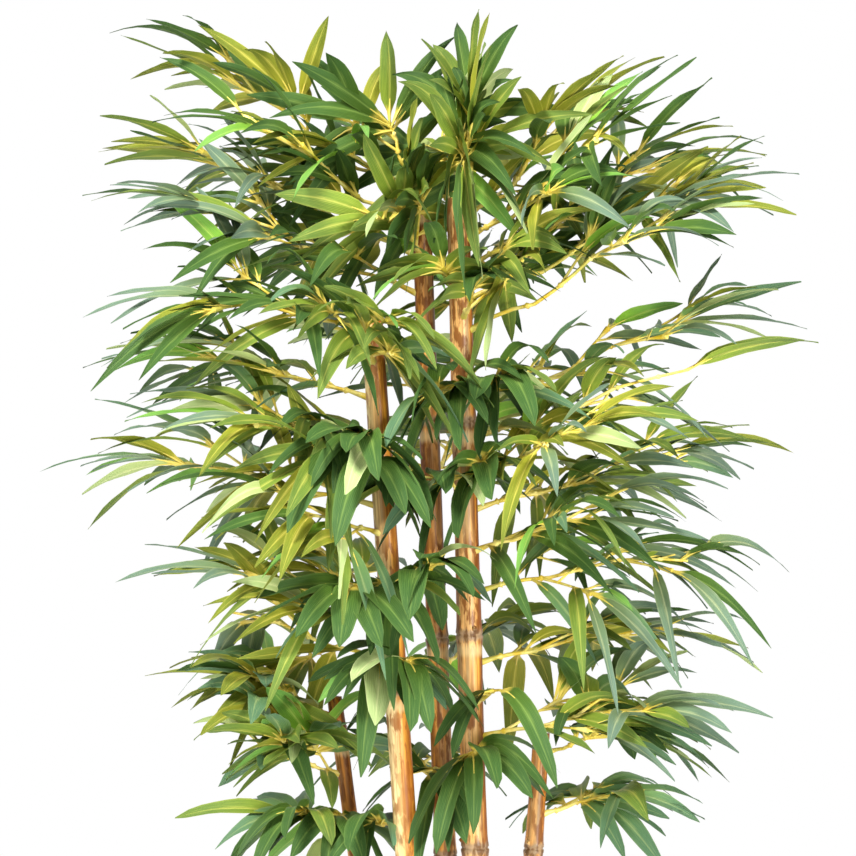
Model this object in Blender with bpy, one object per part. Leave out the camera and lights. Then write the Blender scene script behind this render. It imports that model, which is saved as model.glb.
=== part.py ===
"""Potted artificial bamboo: natural canes that fan out of a plain pot, with sprays of fabric leaves.

Metres, +Z up. The origin is the middle of the pot's flat underside, and the front faces -Y.
Every spray is one solid in its own space: the space nearer to its line than to any other spray's.
"""

import math
import random
from collections import namedtuple

import bmesh
import bpy
import numpy as np
from mathutils import Matrix, Vector
from mathutils.bvhtree import BVHTree

# Pot and filling
POT_HEIGHT = 0.190
POT_RIM_RADIUS = 0.112
POT_FOOT_RADIUS = 0.086
POT_WALL = 0.004
POT_FLOOR = 0.005
POT_LIP_HEIGHT = 0.022
POT_LIP_PROUD = 0.004
POT_SIDES = 28
SHARP_ANGLE = math.radians(35)
FILL_LEVEL = 0.170
FILL_SIDE_GAP = 0.00045
FIT_GAP = 0.0003

# Canes: foot and top are axis points, and each ring of a joint swells the cane a little
CANE_SIDES = 8
NODE_SWELL = 0.0016
NODE_RISE = 0.004
Cane = namedtuple("Cane", "foot top foot_radius top_radius first_node internode")
CANES = {
    "cane_left_short": Cane((-0.030, 0.032), (-0.145, 0.050, 1.030), 0.0102, 0.0085, 0.388, 0.200),
    "cane_left": Cane((-0.018, -0.030), (-0.102, -0.066, 1.453), 0.0142, 0.0122, 0.310, 0.245),
    "cane_middle": Cane((0.004, 0.012), (-0.050, 0.030, 1.618), 0.0134, 0.0108, 0.377, 0.240),
    "cane_right": Cane((0.029, -0.022), (-0.008, -0.020, 1.580), 0.0152, 0.0128, 0.404, 0.233),
    "cane_right_short": Cane((0.030, 0.042), (0.086, 0.060, 0.988), 0.0118, 0.0098, 0.460, 0.200),
}

# Sprays: how high each one is let into its cane, which way it points (0 right, 90 back, 180 left,
# 270 front), how far its last leaf reaches from the cane, how far that tip is above the root,
# how high the spray arches for its length, and how far its leaf fans are turned about the twig
Spray = namedtuple("Spray", "cane height compass reach rise arch turn")
SPRAYS = {
    "left": [
        Spray("cane_middle", 1.590, 174, 0.340, 0.185, 0.06, 20),
        Spray("cane_middle", 1.555, 203, 0.318, 0.140, 0.10, -25),
        Spray("cane_middle", 1.520, 160, 0.392, 0.128, 0.14, 15),
        Spray("cane_middle", 1.478, 189, 0.378, 0.104, 0.14, -15),
        Spray("cane_left", 1.436, 187, 0.313, 0.008, 0.16, -20),
        Spray("cane_left", 1.362, 167, 0.336, 0.030, 0.16, 15),
        Spray("cane_left", 1.300, 207, 0.300, 0.030, 0.14, -30),
        Spray("cane_left", 1.245, 178, 0.373, 0.040, 0.12, 10),
        Spray("cane_left", 1.215, 226, 0.268, -0.010, 0.20, -35),
        Spray("cane_left", 1.125, 189, 0.296, 0.050, 0.14, -15),
        Spray("cane_left", 1.076, 161, 0.340, 0.055, 0.12, 20),
        Spray("cane_left_short", 1.008, 180, 0.212, 0.050, 0.16, -10),
        Spray("cane_left_short", 0.944, 203, 0.212, 0.050, 0.10, 20),
        Spray("cane_left_short", 0.872, 177, 0.200, 0.020, 0.20, -20),
    ],
    "right": [
        Spray("cane_right", 1.560, 12, 0.234, 0.180, 0.10, -20),
        Spray("cane_right", 1.535, 332, 0.290, 0.182, 0.02, 35),
        Spray("cane_right", 1.505, 27, 0.388, 0.156, 0.12, -15),
        Spray("cane_right", 1.470, 3, 0.372, 0.144, 0.12, 15),
        Spray("cane_right", 1.436, 337, 0.362, 0.136, 0.12, 25),
        Spray("cane_right", 1.362, 8, 0.380, 0.126, 0.02, 15),
        Spray("cane_right", 1.318, 348, 0.392, 0.095, 0.08, -15),
        Spray("cane_right", 1.275, 318, 0.320, 0.062, 0.14, 35),
        Spray("cane_right", 1.240, 17, 0.384, 0.070, 0.10, -15),
        Spray("cane_right", 1.195, 330, 0.300, 0.010, 0.22, 30),
        Spray("cane_right", 1.150, 357, 0.390, -0.004, 0.20, 15),
        Spray("cane_right", 1.072, 22, 0.340, 0.000, 0.16, -20),
        Spray("cane_right", 0.992, 350, 0.330, 0.022, 0.12, 20),
        Spray("cane_right_short", 0.966, 333, 0.206, -0.014, 0.30, -20),
        Spray("cane_right_short", 0.898, 8, 0.192, -0.012, 0.24, 15),
    ],
    "top": [
        Spray("cane_middle", 1.608, 215, 0.120, 0.186, 0.02, 80),
        Spray("cane_right", 1.568, 135, 0.058, 0.222, 0.02, 85),
        Spray("cane_right", 1.566, 285, 0.110, 0.205, 0.04, 75),
    ],
    "front": [
        Spray("cane_middle", 1.520, 248, 0.190, 0.120, 0.10, 60),
        Spray("cane_right", 1.450, 285, 0.190, 0.060, 0.25, 30),
        Spray("cane_left", 1.400, 262, 0.180, 0.060, 0.25, -30),
        Spray("cane_right", 1.352, 268, 0.190, -0.020, 0.40, 25),
        Spray("cane_left", 1.290, 238, 0.200, -0.040, 0.45, -20),
        Spray("cane_right", 1.255, 250, 0.180, -0.050, 0.45, 20),
        Spray("cane_left", 1.160, 272, 0.130, -0.120, 0.50, 10),
        Spray("cane_left", 1.074, 248, 0.120, -0.100, 0.50, -10),
        Spray("cane_right", 1.030, 300, 0.180, -0.060, 0.45, 15),
        Spray("cane_middle", 0.950, 258, 0.130, -0.100, 0.50, 10),
        Spray("cane_left_short", 0.890, 255, 0.140, -0.050, 0.45, -10),
    ],
    "back": [
        Spray("cane_middle", 1.540, 92, 0.270, 0.130, 0.14, 20),
        Spray("cane_right", 1.440, 72, 0.310, 0.080, 0.18, -20),
        Spray("cane_middle", 1.360, 112, 0.300, 0.070, 0.18, 20),
        Spray("cane_middle", 1.270, 80, 0.310, 0.050, 0.18, -20),
        Spray("cane_left", 1.140, 118, 0.300, 0.030, 0.18, 20),
        Spray("cane_middle", 1.060, 70, 0.290, 0.020, 0.20, -20),
        Spray("cane_middle", 0.930, 105, 0.270, 0.000, 0.20, 20),
    ],
    "low": [
        Spray("cane_left", 0.800, 205, 0.240, -0.010, 0.22, 15),
        Spray("cane_right", 0.790, 330, 0.240, -0.020, 0.24, -15),
        Spray("cane_right_short", 0.760, 50, 0.200, -0.020, 0.24, 15),
    ],
}

# Twigs: three-sided, thinning towards their ends. The stem of a short spray keeps a least share
# of its line, and its first bend leaves the cane partly square to it. Side twigs stand at even
# steps: the first is 0.6 of a step from the cane, and the last is short of the stem's end
STEM_RADIUS = 0.0026
STEM_STEPS = 3
STEM_LEAST_SHARE = 0.30
STEM_SQUARE = 0.35
TWIG_RADIUS = 0.0017
TWIG_TAPER = 0.35
TWIG_ROOT_SHARE = 0.55
TWIG_LENGTH = 0.050
TWIG_SPACING = 0.072
FIRST_TWIG = 0.6
LAST_TWIG_SHORT = 0.3
TWIG_ANGLE = math.radians(36)
TWIG_LIFT = 0.12
TWIG_DROOP = 0.06

# Leaves: a fan at each twig's end, then singly back along it. They are fewer and broader than
# life. A spray arched at least as steeply as HANGING_ARCH hangs, so its leaves sag more
END_LEAVES = 3
LEAF_SPACING = 0.030
BARE_STEM = 0.014
LEAF_LENGTH = 0.150
LEAF_WIDTH = 0.033
LEAF_THICKNESS = 0.0020
LEAF_WIDEST = 0.42
LEAF_SAG = 0.14
HANGING_ARCH = 0.40
HANGING_SAG = 4.0
LEAF_STEP = 0.004
LEAF_FAN = math.radians(30)
ROOT_DEPTH = 0.003

# What the seeded draws may change: factors on sizes, and angles in radians
SIZE_RANGE = (0.80, 1.04)
SPACING_RANGE = (0.85, 1.15)
TWIG_RANGE = (0.80, 1.20)
FAN_RANGE = (0.80, 1.50)
SAG_RANGE = (0.50, 1.60)
WIDTH_RANGE = (0.75, 1.05)
FAN_SWAY = 0.12
LEAF_PITCH = 0.30
LEAF_ROLL = 0.60
TWIG_SWAY = 0.50
SEED = 7

# Room: a leaf that doesn't fit folds in towards its twig, share by share, before it is skipped
OPENINGS = (1.0, 0.65, 0.3)
SPACE_MARGIN = 0.0010
CANE_CLEARANCE = 0.003
LINE_STEPS = 10
SAMPLE_SHARES = (0.1, 0.25, 0.4, 0.55, 0.7, 0.85, 1.0)
MERGE = 2e-6
UP = Vector((0, 0, 1))

Bud = namedtuple("Bud", "root tangent turn fan pitch roll length width sag")
Leaf = namedtuple("Leaf", "root along normal length width sag")
Twig = namedtuple("Twig", "points radius")


def new_material(name, colour, roughness):
    """A plain Principled material."""
    material = bpy.data.materials.new(name)
    material.use_nodes = True
    shader = material.node_tree.nodes["Principled BSDF"]
    shader.inputs["Base Color"].default_value = (*colour, 1)
    shader.inputs["Roughness"].default_value = roughness
    shader.inputs["Metallic"].default_value = 0
    return material


def new_object(name, bm, material=None):
    """Turns a bmesh into a linked object, and frees the bmesh."""
    mesh = bpy.data.meshes.new(name)
    bm.to_mesh(mesh)
    bm.free()
    piece = bpy.data.objects.new(name, mesh)
    bpy.context.scene.collection.objects.link(piece)
    if material:
        mesh.materials.append(material)
    return piece


def extrude_cap(bm, face):
    """Extrudes the end face of a solid, and returns the new end. The very first face stays."""
    is_foot = len(bm.faces) == 1
    grown = bmesh.ops.extrude_face_region(bm, geom=[face])["geom"]
    if not is_foot:
        bmesh.ops.delete(bm, geom=[face], context="FACES_ONLY")
    return next(item for item in grown if isinstance(item, bmesh.types.BMFace))


def turned(name, profile, material):
    """Spins a closed outline of (radius, height) points once round the Z axis."""
    bm = bmesh.new()
    verts = [bm.verts.new((radius, 0, height)) for radius, height in profile]
    edges = [bm.edges.new(pair) for pair in zip(verts, verts[1:])]
    bmesh.ops.spin(bm, geom=verts + edges, cent=(0, 0, 0), axis=(0, 0, 1), angle=math.tau,
                   steps=POT_SIDES, use_merge=True)
    bmesh.ops.remove_doubles(bm, verts=bm.verts, dist=MERGE)
    bmesh.ops.recalc_face_normals(bm, faces=bm.faces)
    piece = new_object(name, bm, material)
    piece.data.shade_smooth()
    piece.data.set_sharp_from_angle(angle=SHARP_ANGLE)
    return piece


def pot_radius(height):
    """The radius of the pot's outside at a height."""
    return POT_FOOT_RADIUS + (POT_RIM_RADIUS - POT_FOOT_RADIUS) * height / POT_HEIGHT


def make_pot():
    """A tapered pot with a flat base and a thicker lip, open at the top."""
    lip_foot = POT_HEIGHT - POT_LIP_HEIGHT
    profile = [
        (0, 0),
        (pot_radius(0), 0),
        (pot_radius(lip_foot), lip_foot),
        (pot_radius(lip_foot) + POT_LIP_PROUD, lip_foot),
        (pot_radius(POT_HEIGHT) + POT_LIP_PROUD, POT_HEIGHT),
        (pot_radius(POT_HEIGHT) - POT_WALL, POT_HEIGHT),
        (pot_radius(POT_FLOOR) - POT_WALL, POT_FLOOR),
        (0, POT_FLOOR),
    ]
    return turned("pot", profile, new_material("pot_plastic", (0.028, 0.028, 0.030), 0.55))


def make_fill():
    """The set filling that holds the canes, clear of the pot's wall and floor."""
    foot = POT_FLOOR + FIT_GAP
    inset = POT_WALL + FILL_SIDE_GAP
    profile = [
        (0, foot),
        (pot_radius(foot) - inset, foot),
        (pot_radius(FILL_LEVEL) - inset, FILL_LEVEL),
        (0, FILL_LEVEL),
    ]
    return turned("pot_fill", profile, new_material("fill", (0.07, 0.045, 0.028), 0.95))


def cane_foot(cane):
    """The lower end of a cane's axis, just clear of the filling."""
    return Vector((*cane.foot, FILL_LEVEL + FIT_GAP))


def cane_share(cane, height):
    """How far up its cane a height is, from 0 at the foot to 1 at the top."""
    foot = cane_foot(cane)
    return (height - foot.z) / (cane.top[2] - foot.z)


def cane_point(cane, height):
    """The point of a cane's axis at a height."""
    return cane_foot(cane).lerp(Vector(cane.top), cane_share(cane, height))


def cane_radius(cane, height):
    """The radius of a cane at a height, between its nodes."""
    share = cane_share(cane, height)
    return cane.foot_radius * (1 - share) + cane.top_radius * share


def node_heights(cane):
    """The heights of a cane's nodes, up to just under its top."""
    count = int((cane.top[2] - NODE_RISE * 3 - cane.first_node) / cane.internode) + 1
    return [cane.first_node + cane.internode * i for i in range(count)]


def make_cane(name, cane, material):
    """A tapering cane: a many-sided ring carried up its lean, swelling at each node."""
    rings = [(cane_foot(cane).z, 0)]
    for height in node_heights(cane):
        rings += [(height - NODE_RISE, 0), (height, NODE_SWELL), (height + NODE_RISE, 0)]
    rings.append((cane.top[2], 0))
    bm = bmesh.new()
    first = cane_radius(cane, rings[0][0])
    placed = Matrix.Translation(cane_foot(cane))
    verts = bmesh.ops.create_circle(bm, cap_ends=True, segments=CANE_SIDES, radius=first,
                                    matrix=placed)["verts"]
    face = verts[0].link_faces[0]
    for (low, low_swell), (high, high_swell) in zip(rings, rings[1:]):
        face = extrude_cap(bm, face)
        centre = cane_point(cane, low)
        growth = (cane_radius(cane, high) + high_swell) / (cane_radius(cane, low) + low_swell)
        bmesh.ops.scale(bm, vec=(growth, growth, 1), verts=face.verts,
                        space=Matrix.Translation(-centre))
        bmesh.ops.translate(bm, vec=cane_point(cane, high) - centre, verts=face.verts)
    bmesh.ops.recalc_face_normals(bm, faces=bm.faces)
    return new_object(name, bm, material)


def heading(compass):
    """The level direction of a compass angle in degrees."""
    return Vector((math.cos(math.radians(compass)), math.sin(math.radians(compass)), 0))


def arch_line(spray, root):
    """The line of a spray: a quadratic arch from its root to its furthest tip."""
    tip = cane_point(CANES[spray.cane], spray.height) + heading(spray.compass) * spray.reach
    tip += UP * spray.rise
    span = (tip - root).length
    crest = root.lerp(tip, 0.5) + UP * spray.arch * span

    def point(share):
        return root.lerp(crest, share).lerp(crest.lerp(tip, share), share)

    return point, span


def fan_frame(tangent, turn):
    """The sideways and upward directions of a leaf fan on a twig, turned about the twig."""
    side = tangent.cross(UP)
    side = Matrix.Rotation(turn, 3, tangent) @ side.normalized()
    return side, side.cross(tangent)


def new_bud(root, tangent, turn, fan, length, rng):
    """A place for a leaf on a twig, with the leaf's own angles and size."""
    pitch = rng.uniform(-LEAF_PITCH, LEAF_PITCH)
    roll = rng.uniform(-LEAF_ROLL, LEAF_ROLL)
    width = LEAF_WIDTH * rng.uniform(*WIDTH_RANGE)
    sag = LEAF_SAG * rng.uniform(*SAG_RANGE)
    return Bud(root, tangent, turn, fan, pitch, roll, length, width, sag)


def opened(bud, share):
    """The leaf of a bud, opened away from its twig by a share of the bud's angles."""
    side, lift = fan_frame(bud.tangent, bud.turn)
    fan = bud.fan * share
    pitch = bud.pitch * share
    level = bud.tangent * math.cos(fan) + side * math.sin(fan)
    along = level * math.cos(pitch) + lift * math.sin(pitch)
    normal = lift * math.cos(pitch) - level * math.sin(pitch)
    normal = Matrix.Rotation(bud.roll, 3, along) @ normal
    return Leaf(bud.root, along, normal, bud.length, bud.width, bud.sag)


def leaf_point(leaf, share):
    """A point on a leaf's midrib: straight out at first, sagging more and more."""
    return leaf.root + leaf.along * leaf.length * share - UP * leaf.sag * leaf.length * share ** 2


def spot_on(points, distance):
    """The point and direction that a distance along a twig comes to."""
    for start, end in zip(points, points[1:]):
        run = end - start
        if distance <= run.length or end is points[-1]:
            return start + run.normalized() * distance, run.normalized()
        distance -= run.length


def line_length(points):
    """The length of a line through its points."""
    return sum((end - start).length for start, end in zip(points, points[1:]))


def twig_buds(points, turn, rng):
    """Buds in a fan at the end of a twig, then on alternate sides back along it."""
    length = line_length(points)
    buds = []
    for i in range(END_LEAVES):
        pair = (i + 1) // 2
        root, tangent = spot_on(points, length - ROOT_DEPTH - LEAF_STEP * pair)
        fan = (LEAF_FAN * pair + rng.uniform(-FAN_SWAY, FAN_SWAY)) * (-1 if i % 2 else 1)
        buds.append(new_bud(root, tangent, turn, fan, LEAF_LENGTH * rng.uniform(*SIZE_RANGE), rng))
    distance = length - LEAF_SPACING
    side = 1
    while distance > BARE_STEM:
        root, tangent = spot_on(points, distance)
        fan = LEAF_FAN * rng.uniform(*FAN_RANGE) * side
        buds.append(new_bud(root, tangent, turn, fan, LEAF_LENGTH * rng.uniform(*SIZE_RANGE), rng))
        distance -= LEAF_SPACING * rng.uniform(*SPACING_RANGE)
        side = -side
    return buds


def side_twig(start, tangent, turn, hand, rng):
    """A short twig that leaves the stem to one side, rises a little and bends down at its end."""
    side, lift = fan_frame(tangent, turn)
    angle = TWIG_ANGLE * rng.uniform(*TWIG_RANGE) * hand
    way = tangent * math.cos(angle) + side * math.sin(angle) + lift * TWIG_LIFT
    run = way * TWIG_LENGTH * rng.uniform(*TWIG_RANGE)
    return Twig([start, start + run / 2, start + run - UP * run.length * TWIG_DROOP], TWIG_RADIUS)


def grow(spray, root, outward, rng):
    """Grows one spray: pairs of a twig and its buds, the stem first and the side twigs after."""
    point, span = arch_line(spray, root)
    stem_share = max(1 - LEAF_LENGTH / span, STEM_LEAST_SHARE)
    stem = [point(stem_share * i / STEM_STEPS) for i in range(STEM_STEPS + 1)]
    stem[1] = stem[1].lerp(root + outward * (stem[1] - root).length, STEM_SQUARE)
    turn = math.radians(spray.turn)
    buds = twig_buds(stem, turn, rng)
    reach = point(1) - buds[0].root
    along = (reach + UP * buds[0].sag * reach.length).normalized()
    buds[0] = buds[0]._replace(tangent=along, fan=0, pitch=0, length=reach.length)
    grown = [(Twig(stem, STEM_RADIUS), buds)]
    length = line_length(stem)
    count = max(1, round(length / TWIG_SPACING))
    for i in range(count):
        share = (i + FIRST_TWIG) / (count + LAST_TWIG_SHORT)
        start, tangent = spot_on(stem, length * share)
        sway = turn + rng.uniform(-TWIG_SWAY, TWIG_SWAY)
        twig = side_twig(start, tangent, sway, 1 if i % 2 else -1, rng)
        grown.append((twig, twig_buds(twig.points, sway, rng)))
    if spray.arch >= HANGING_ARCH:
        grown = [(twig, [bud._replace(sag=bud.sag * HANGING_SAG) for bud in buds])
                 for twig, buds in grown]
    return grown


class Spaces:
    """Shares the air out among the sprays, so that no two of them can touch."""

    def __init__(self, lines):
        self.starts = np.array([line[i] for line in lines for i in range(len(line) - 1)])
        self.ends = np.array([line[i + 1] for line in lines for i in range(len(line) - 1)])
        owners = [number for number, line in enumerate(lines) for _ in range(len(line) - 1)]
        self.owners = np.array(owners)

    def holds(self, number, points):
        """True where every point is nearer to this spray's line than to any other's."""
        points = np.array(points)[:, None, :]
        runs = self.ends - self.starts
        shares = ((points - self.starts) * runs).sum(2) / (runs * runs).sum(1)
        nearest = self.starts + runs * np.clip(shares, 0, 1)[:, :, None]
        gaps = np.linalg.norm(points - nearest, axis=2)
        own = gaps[:, self.owners == number].min(1)
        other = gaps[:, self.owners != number].min(1)
        return bool((own + SPACE_MARGIN < other).all())


def clear_of_canes(points, gap):
    """True where every point is at least a gap away from every cane."""
    for cane in CANES.values():
        for spot in points:
            if spot.z > cane.top[2] + gap or spot.z < cane_foot(cane).z:
                continue
            height = min(spot.z, cane.top[2])
            away = (spot - cane_point(cane, height)).xy.length
            if away < cane_radius(cane, height) + NODE_SWELL + gap:
                return False
    return True


def leaf_samples(leaf):
    """Points over a leaf's blade that are tested for room."""
    side = leaf.along.cross(leaf.normal) * leaf.width / 2
    samples = []
    for share in SAMPLE_SHARES:
        middle = leaf_point(leaf, share)
        half = min(share / LEAF_WIDEST, (1 - share) / (1 - LEAF_WIDEST))
        samples += [middle, middle + side * half, middle - side * half]
    return samples


def fits(spaces, number, points):
    """True where every point is in the spray's own space and clear of the canes."""
    return spaces.holds(number, points) and clear_of_canes(points, CANE_CLEARANCE)


def skin(rings):
    """Carries a three-cornered face through its rings, which leaves a closed solid."""
    bm = bmesh.new()
    face = bm.faces.new([bm.verts.new(corner) for corner in rings[0]])
    for old, ring in zip(rings, rings[1:]):
        face = extrude_cap(bm, face)
        corners = [min(range(3), key=lambda i: (old[i] - vert.co).length) for vert in face.verts]
        for vert, corner in zip(face.verts, corners):
            vert.co = ring[corner]
    bmesh.ops.triangulate(bm, faces=bm.faces)
    bmesh.ops.recalc_face_normals(bm, faces=bm.faces)
    return bm


def twig_ring(centre, side, lift, radius):
    """Three corners round a twig."""
    corners = []
    for i in range(3):
        angle = math.tau * i / 3 + math.pi / 2
        corners.append(centre + (side * math.cos(angle) + lift * math.sin(angle)) * radius)
    return corners


def make_twig(twig, facing=None):
    """A three-sided twig that thins a little towards its end.

    A stem's first ring lies flat on its cane, and a side twig's first ring is small enough to lie
    inside the stem.
    """
    rings = []
    for i, centre in enumerate(twig.points):
        before = twig.points[max(i - 1, 0)]
        after = twig.points[min(i + 1, len(twig.points) - 1)]
        tangent = (after - before).normalized()
        share = 1 - TWIG_TAPER * i / (len(twig.points) - 1)
        if i == 0 and facing:
            tangent = facing
        elif i == 0:
            share = TWIG_ROOT_SHARE
        side, lift = fan_frame(tangent, 0)
        rings.append(twig_ring(centre, side, lift, twig.radius * share))
    return new_object("twig", skin(rings))


def make_leaf(leaf):
    """A leaf blade: a flat body that widens from a point to its two edges and its keel."""
    side = leaf.along.cross(leaf.normal) * leaf.width / 2
    centre = leaf_point(leaf, LEAF_WIDEST)
    bm = bmesh.new()
    for corner in (centre - side, centre + side, centre - leaf.normal * LEAF_THICKNESS,
                   leaf_point(leaf, 0), leaf_point(leaf, 1)):
        bm.verts.new(corner)
    left, right, keel, root, tip = bm.verts
    for end in (root, tip):
        for pair in ((left, right), (right, keel), (keel, left)):
            bm.faces.new((end, *pair))
    bmesh.ops.recalc_face_normals(bm, faces=bm.faces)
    return new_object("leaf", bm)


def shells(bm):
    """The separate shells of a mesh, each as a list of faces."""
    left = set(bm.faces)
    found = []
    while left:
        shell = {left.pop()}
        front = list(shell)
        while front:
            for edge in front.pop().edges:
                for face in edge.link_faces:
                    if face in left:
                        left.discard(face)
                        shell.add(face)
                        front.append(face)
        found.append(shell)
    return found


def shell_volume(shell):
    """Six times the volume that a shell of triangles holds."""
    total = 0
    for face in shell:
        a, b, c = (vert.co for vert in face.verts)
        total += a.dot(b.cross(c))
    return total


def whole_body(mesh):
    """The largest shell of a fused mesh, without scraps or sealed hollows, or None if it is open."""
    bm = bmesh.new()
    bm.from_mesh(mesh)
    bmesh.ops.triangulate(bm, faces=bm.faces)
    bmesh.ops.remove_doubles(bm, verts=bm.verts, dist=MERGE)
    bmesh.ops.dissolve_degenerate(bm, edges=bm.edges, dist=MERGE)
    bmesh.ops.triangulate(bm, faces=bm.faces)
    parts = shells(bm)
    if not parts:
        bm.free()
        return None
    keep = max(parts, key=shell_volume)
    spare = [face for part in parts if part is not keep for face in part]
    bmesh.ops.delete(bm, geom=spare, context="FACES")
    loose = [vert for vert in bm.verts if not vert.link_faces]
    bmesh.ops.delete(bm, geom=loose, context="VERTS")
    if not all(edge.is_manifold for edge in bm.edges) or not all(v.is_manifold for v in bm.verts):
        bm.free()
        return None
    return bm


def fuse(pieces, solver):
    """Joins a stem and the collection of everything on it by one Boolean union."""
    group = bpy.data.collections.new("on_the_stem")
    for piece in pieces[1:]:
        group.objects.link(piece)
    union = pieces[0].modifiers.new("union", "BOOLEAN")
    union.operation = "UNION"
    union.operand_type = "COLLECTION"
    union.collection = group
    union.solver = solver
    depsgraph = bpy.context.evaluated_depsgraph_get()
    mesh = bpy.data.meshes.new_from_object(pieces[0].evaluated_get(depsgraph))
    pieces[0].modifiers.clear()
    bpy.data.collections.remove(group)
    return mesh


def spray_body(twigs, leaves, facing):
    """One closed body of a stem, its side twigs and its leaves, or None where neither solver does."""
    pieces = [make_twig(twigs[0], facing)]
    pieces += [make_twig(twig) for twig in twigs[1:]]
    pieces += [make_leaf(leaf) for leaf in leaves]
    for solver in ("EXACT", "MANIFOLD"):
        fused = fuse(pieces, solver)
        body = whole_body(fused)
        bpy.data.meshes.remove(fused)
        if body:
            break
    for piece in pieces:
        bpy.data.meshes.remove(piece.data)
    return body


def make_spray(name, twigs, leaves, facing, material):
    """Makes one spray as one closed solid, and returns how many leaves it has.

    Where its pieces don't fuse, it is tried again with one leaf left out, each in turn.
    """
    for spare in range(len(leaves), -1, -1):
        kept = leaves[:spare] + leaves[spare + 1:]
        body = spray_body(twigs, kept, facing)
        if body:
            new_object(name, body, material)
            return len(kept)
    raise ValueError(f"{name} did not fuse")


def make_sprays():
    """Grows every spray from its cane, keeping each in its own space and off the canes."""
    leaf_green = new_material("leaf_fabric", (0.10, 0.19, 0.035), 0.6)
    surfaces = {name: BVHTree.FromObject(bpy.data.objects[name], bpy.context.view_layer.depsgraph)
                for name in CANES}
    plan = []
    for group, sprays in SPRAYS.items():
        for number, spray in enumerate(sprays, 1):
            axis = cane_point(CANES[spray.cane], spray.height)
            outside = axis + heading(spray.compass) * POT_RIM_RADIUS
            spot, facing, _, _ = surfaces[spray.cane].ray_cast(outside, axis - outside)
            root = spot + facing * FIT_GAP
            point, _ = arch_line(spray, root)
            plan.append((f"foliage_{group}_{number:02d}", spray, root, facing, point))
    spaces = Spaces([[point(i / LINE_STEPS) for i in range(LINE_STEPS + 1)]
                     for _, _, _, _, point in plan])
    total = 0
    for number, (name, spray, root, facing, _) in enumerate(plan):
        twigs = []
        leaves = []
        for twig, buds in grow(spray, root, facing, random.Random(SEED + number)):
            if twigs and not fits(spaces, number, twig.points):
                continue
            twigs.append(twig)
            tries = [[opened(bud, share) for share in OPENINGS] for bud in buds]
            fitting = [[leaf for leaf in row if fits(spaces, number, leaf_samples(leaf))]
                       for row in tries]
            leaves += [row[0] for row in fitting if row]
        total += make_spray(name, twigs, leaves, facing, leaf_green)
    print("leaves", total)


def main():
    """Empties the scene, then makes the pot, its filling, the canes and the sprays."""
    for old in list(bpy.data.objects):
        bpy.data.objects.remove(old)
    make_pot()
    make_fill()
    bamboo = new_material("bamboo", (0.55, 0.29, 0.10), 0.35)
    for name, cane in CANES.items():
        make_cane(name, cane, bamboo)
    bpy.context.view_layer.update()
    make_sprays()


main()
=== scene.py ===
# %% [markdown]
# # Potted artificial bamboo
#
# The real thing is a made plant: five natural bamboo canes stand in a filled pot, and moulded
# yellow twigs with printed fabric leaves are let into the canes from the middle up.
#
# This lesson builds its looks round a fixed frame of plain solids. The frame says where each cane,
# spray and the pot are. Here each of them gets its finished shape and its finish.

import math
import random
from collections import namedtuple

import bmesh
import bpy
import numpy as np
from mathutils import Matrix, Vector, noise


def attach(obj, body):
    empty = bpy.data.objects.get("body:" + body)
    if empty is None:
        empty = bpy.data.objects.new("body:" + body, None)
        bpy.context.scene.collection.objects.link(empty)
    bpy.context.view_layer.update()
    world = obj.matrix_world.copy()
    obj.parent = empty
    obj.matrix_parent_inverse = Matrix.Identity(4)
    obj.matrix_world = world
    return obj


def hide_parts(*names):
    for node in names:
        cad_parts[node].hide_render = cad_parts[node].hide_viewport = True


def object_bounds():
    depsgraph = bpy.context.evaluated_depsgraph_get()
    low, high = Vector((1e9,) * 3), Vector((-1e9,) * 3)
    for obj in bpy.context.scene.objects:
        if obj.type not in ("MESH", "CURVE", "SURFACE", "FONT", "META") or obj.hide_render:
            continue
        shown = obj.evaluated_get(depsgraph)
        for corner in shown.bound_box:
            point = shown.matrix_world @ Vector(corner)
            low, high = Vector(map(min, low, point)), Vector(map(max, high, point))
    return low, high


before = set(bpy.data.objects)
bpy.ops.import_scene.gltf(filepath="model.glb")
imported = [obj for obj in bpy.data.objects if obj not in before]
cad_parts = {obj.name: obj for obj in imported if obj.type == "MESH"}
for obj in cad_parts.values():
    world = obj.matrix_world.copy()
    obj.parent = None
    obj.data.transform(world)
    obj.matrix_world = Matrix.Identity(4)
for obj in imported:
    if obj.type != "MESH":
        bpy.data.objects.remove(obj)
cad_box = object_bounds()
UP = Vector((0, 0, 1))
print("frame nodes:", len(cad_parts))

# %% [markdown]
# ## The camera
#
# The photograph was taken level, from in front, and it cuts the plant off above its pot. A camera
# that looks straight along +Y with a long lens gives the same flat view. The lens could be found by
# trying, but it follows from how wide the picture is at the canes, so it is worked out.

# %% The camera
VIEW_WIDTH = 0.9416
VIEW_DISTANCE = 4.0
VIEW_CENTRE = Vector((-0.0407, 0, 1.3288))
SENSOR = 36

lens = bpy.data.cameras.new("camera")
lens.sensor_width = SENSOR
lens.lens = SENSOR * VIEW_DISTANCE / VIEW_WIDTH
camera = bpy.data.objects.new("camera", lens)
camera.location = VIEW_CENTRE - Vector((0, VIEW_DISTANCE, 0))
camera.rotation_euler = (math.radians(90), 0, 0)
bpy.context.scene.collection.objects.link(camera)
bpy.context.scene.camera = camera
print("lens in mm:", round(lens.lens, 1))

# %% [markdown]
# ## The light
#
# The photograph is a studio picture on pure white. A white world gives that ground and fills the
# shade between the leaves. One large soft lamp from the upper left models the leaves, and a weaker
# one low at the front right lights the canes and the undersides. The plain colour management is
# chosen, because a film-like one would grey the white and dull the greens.

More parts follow.
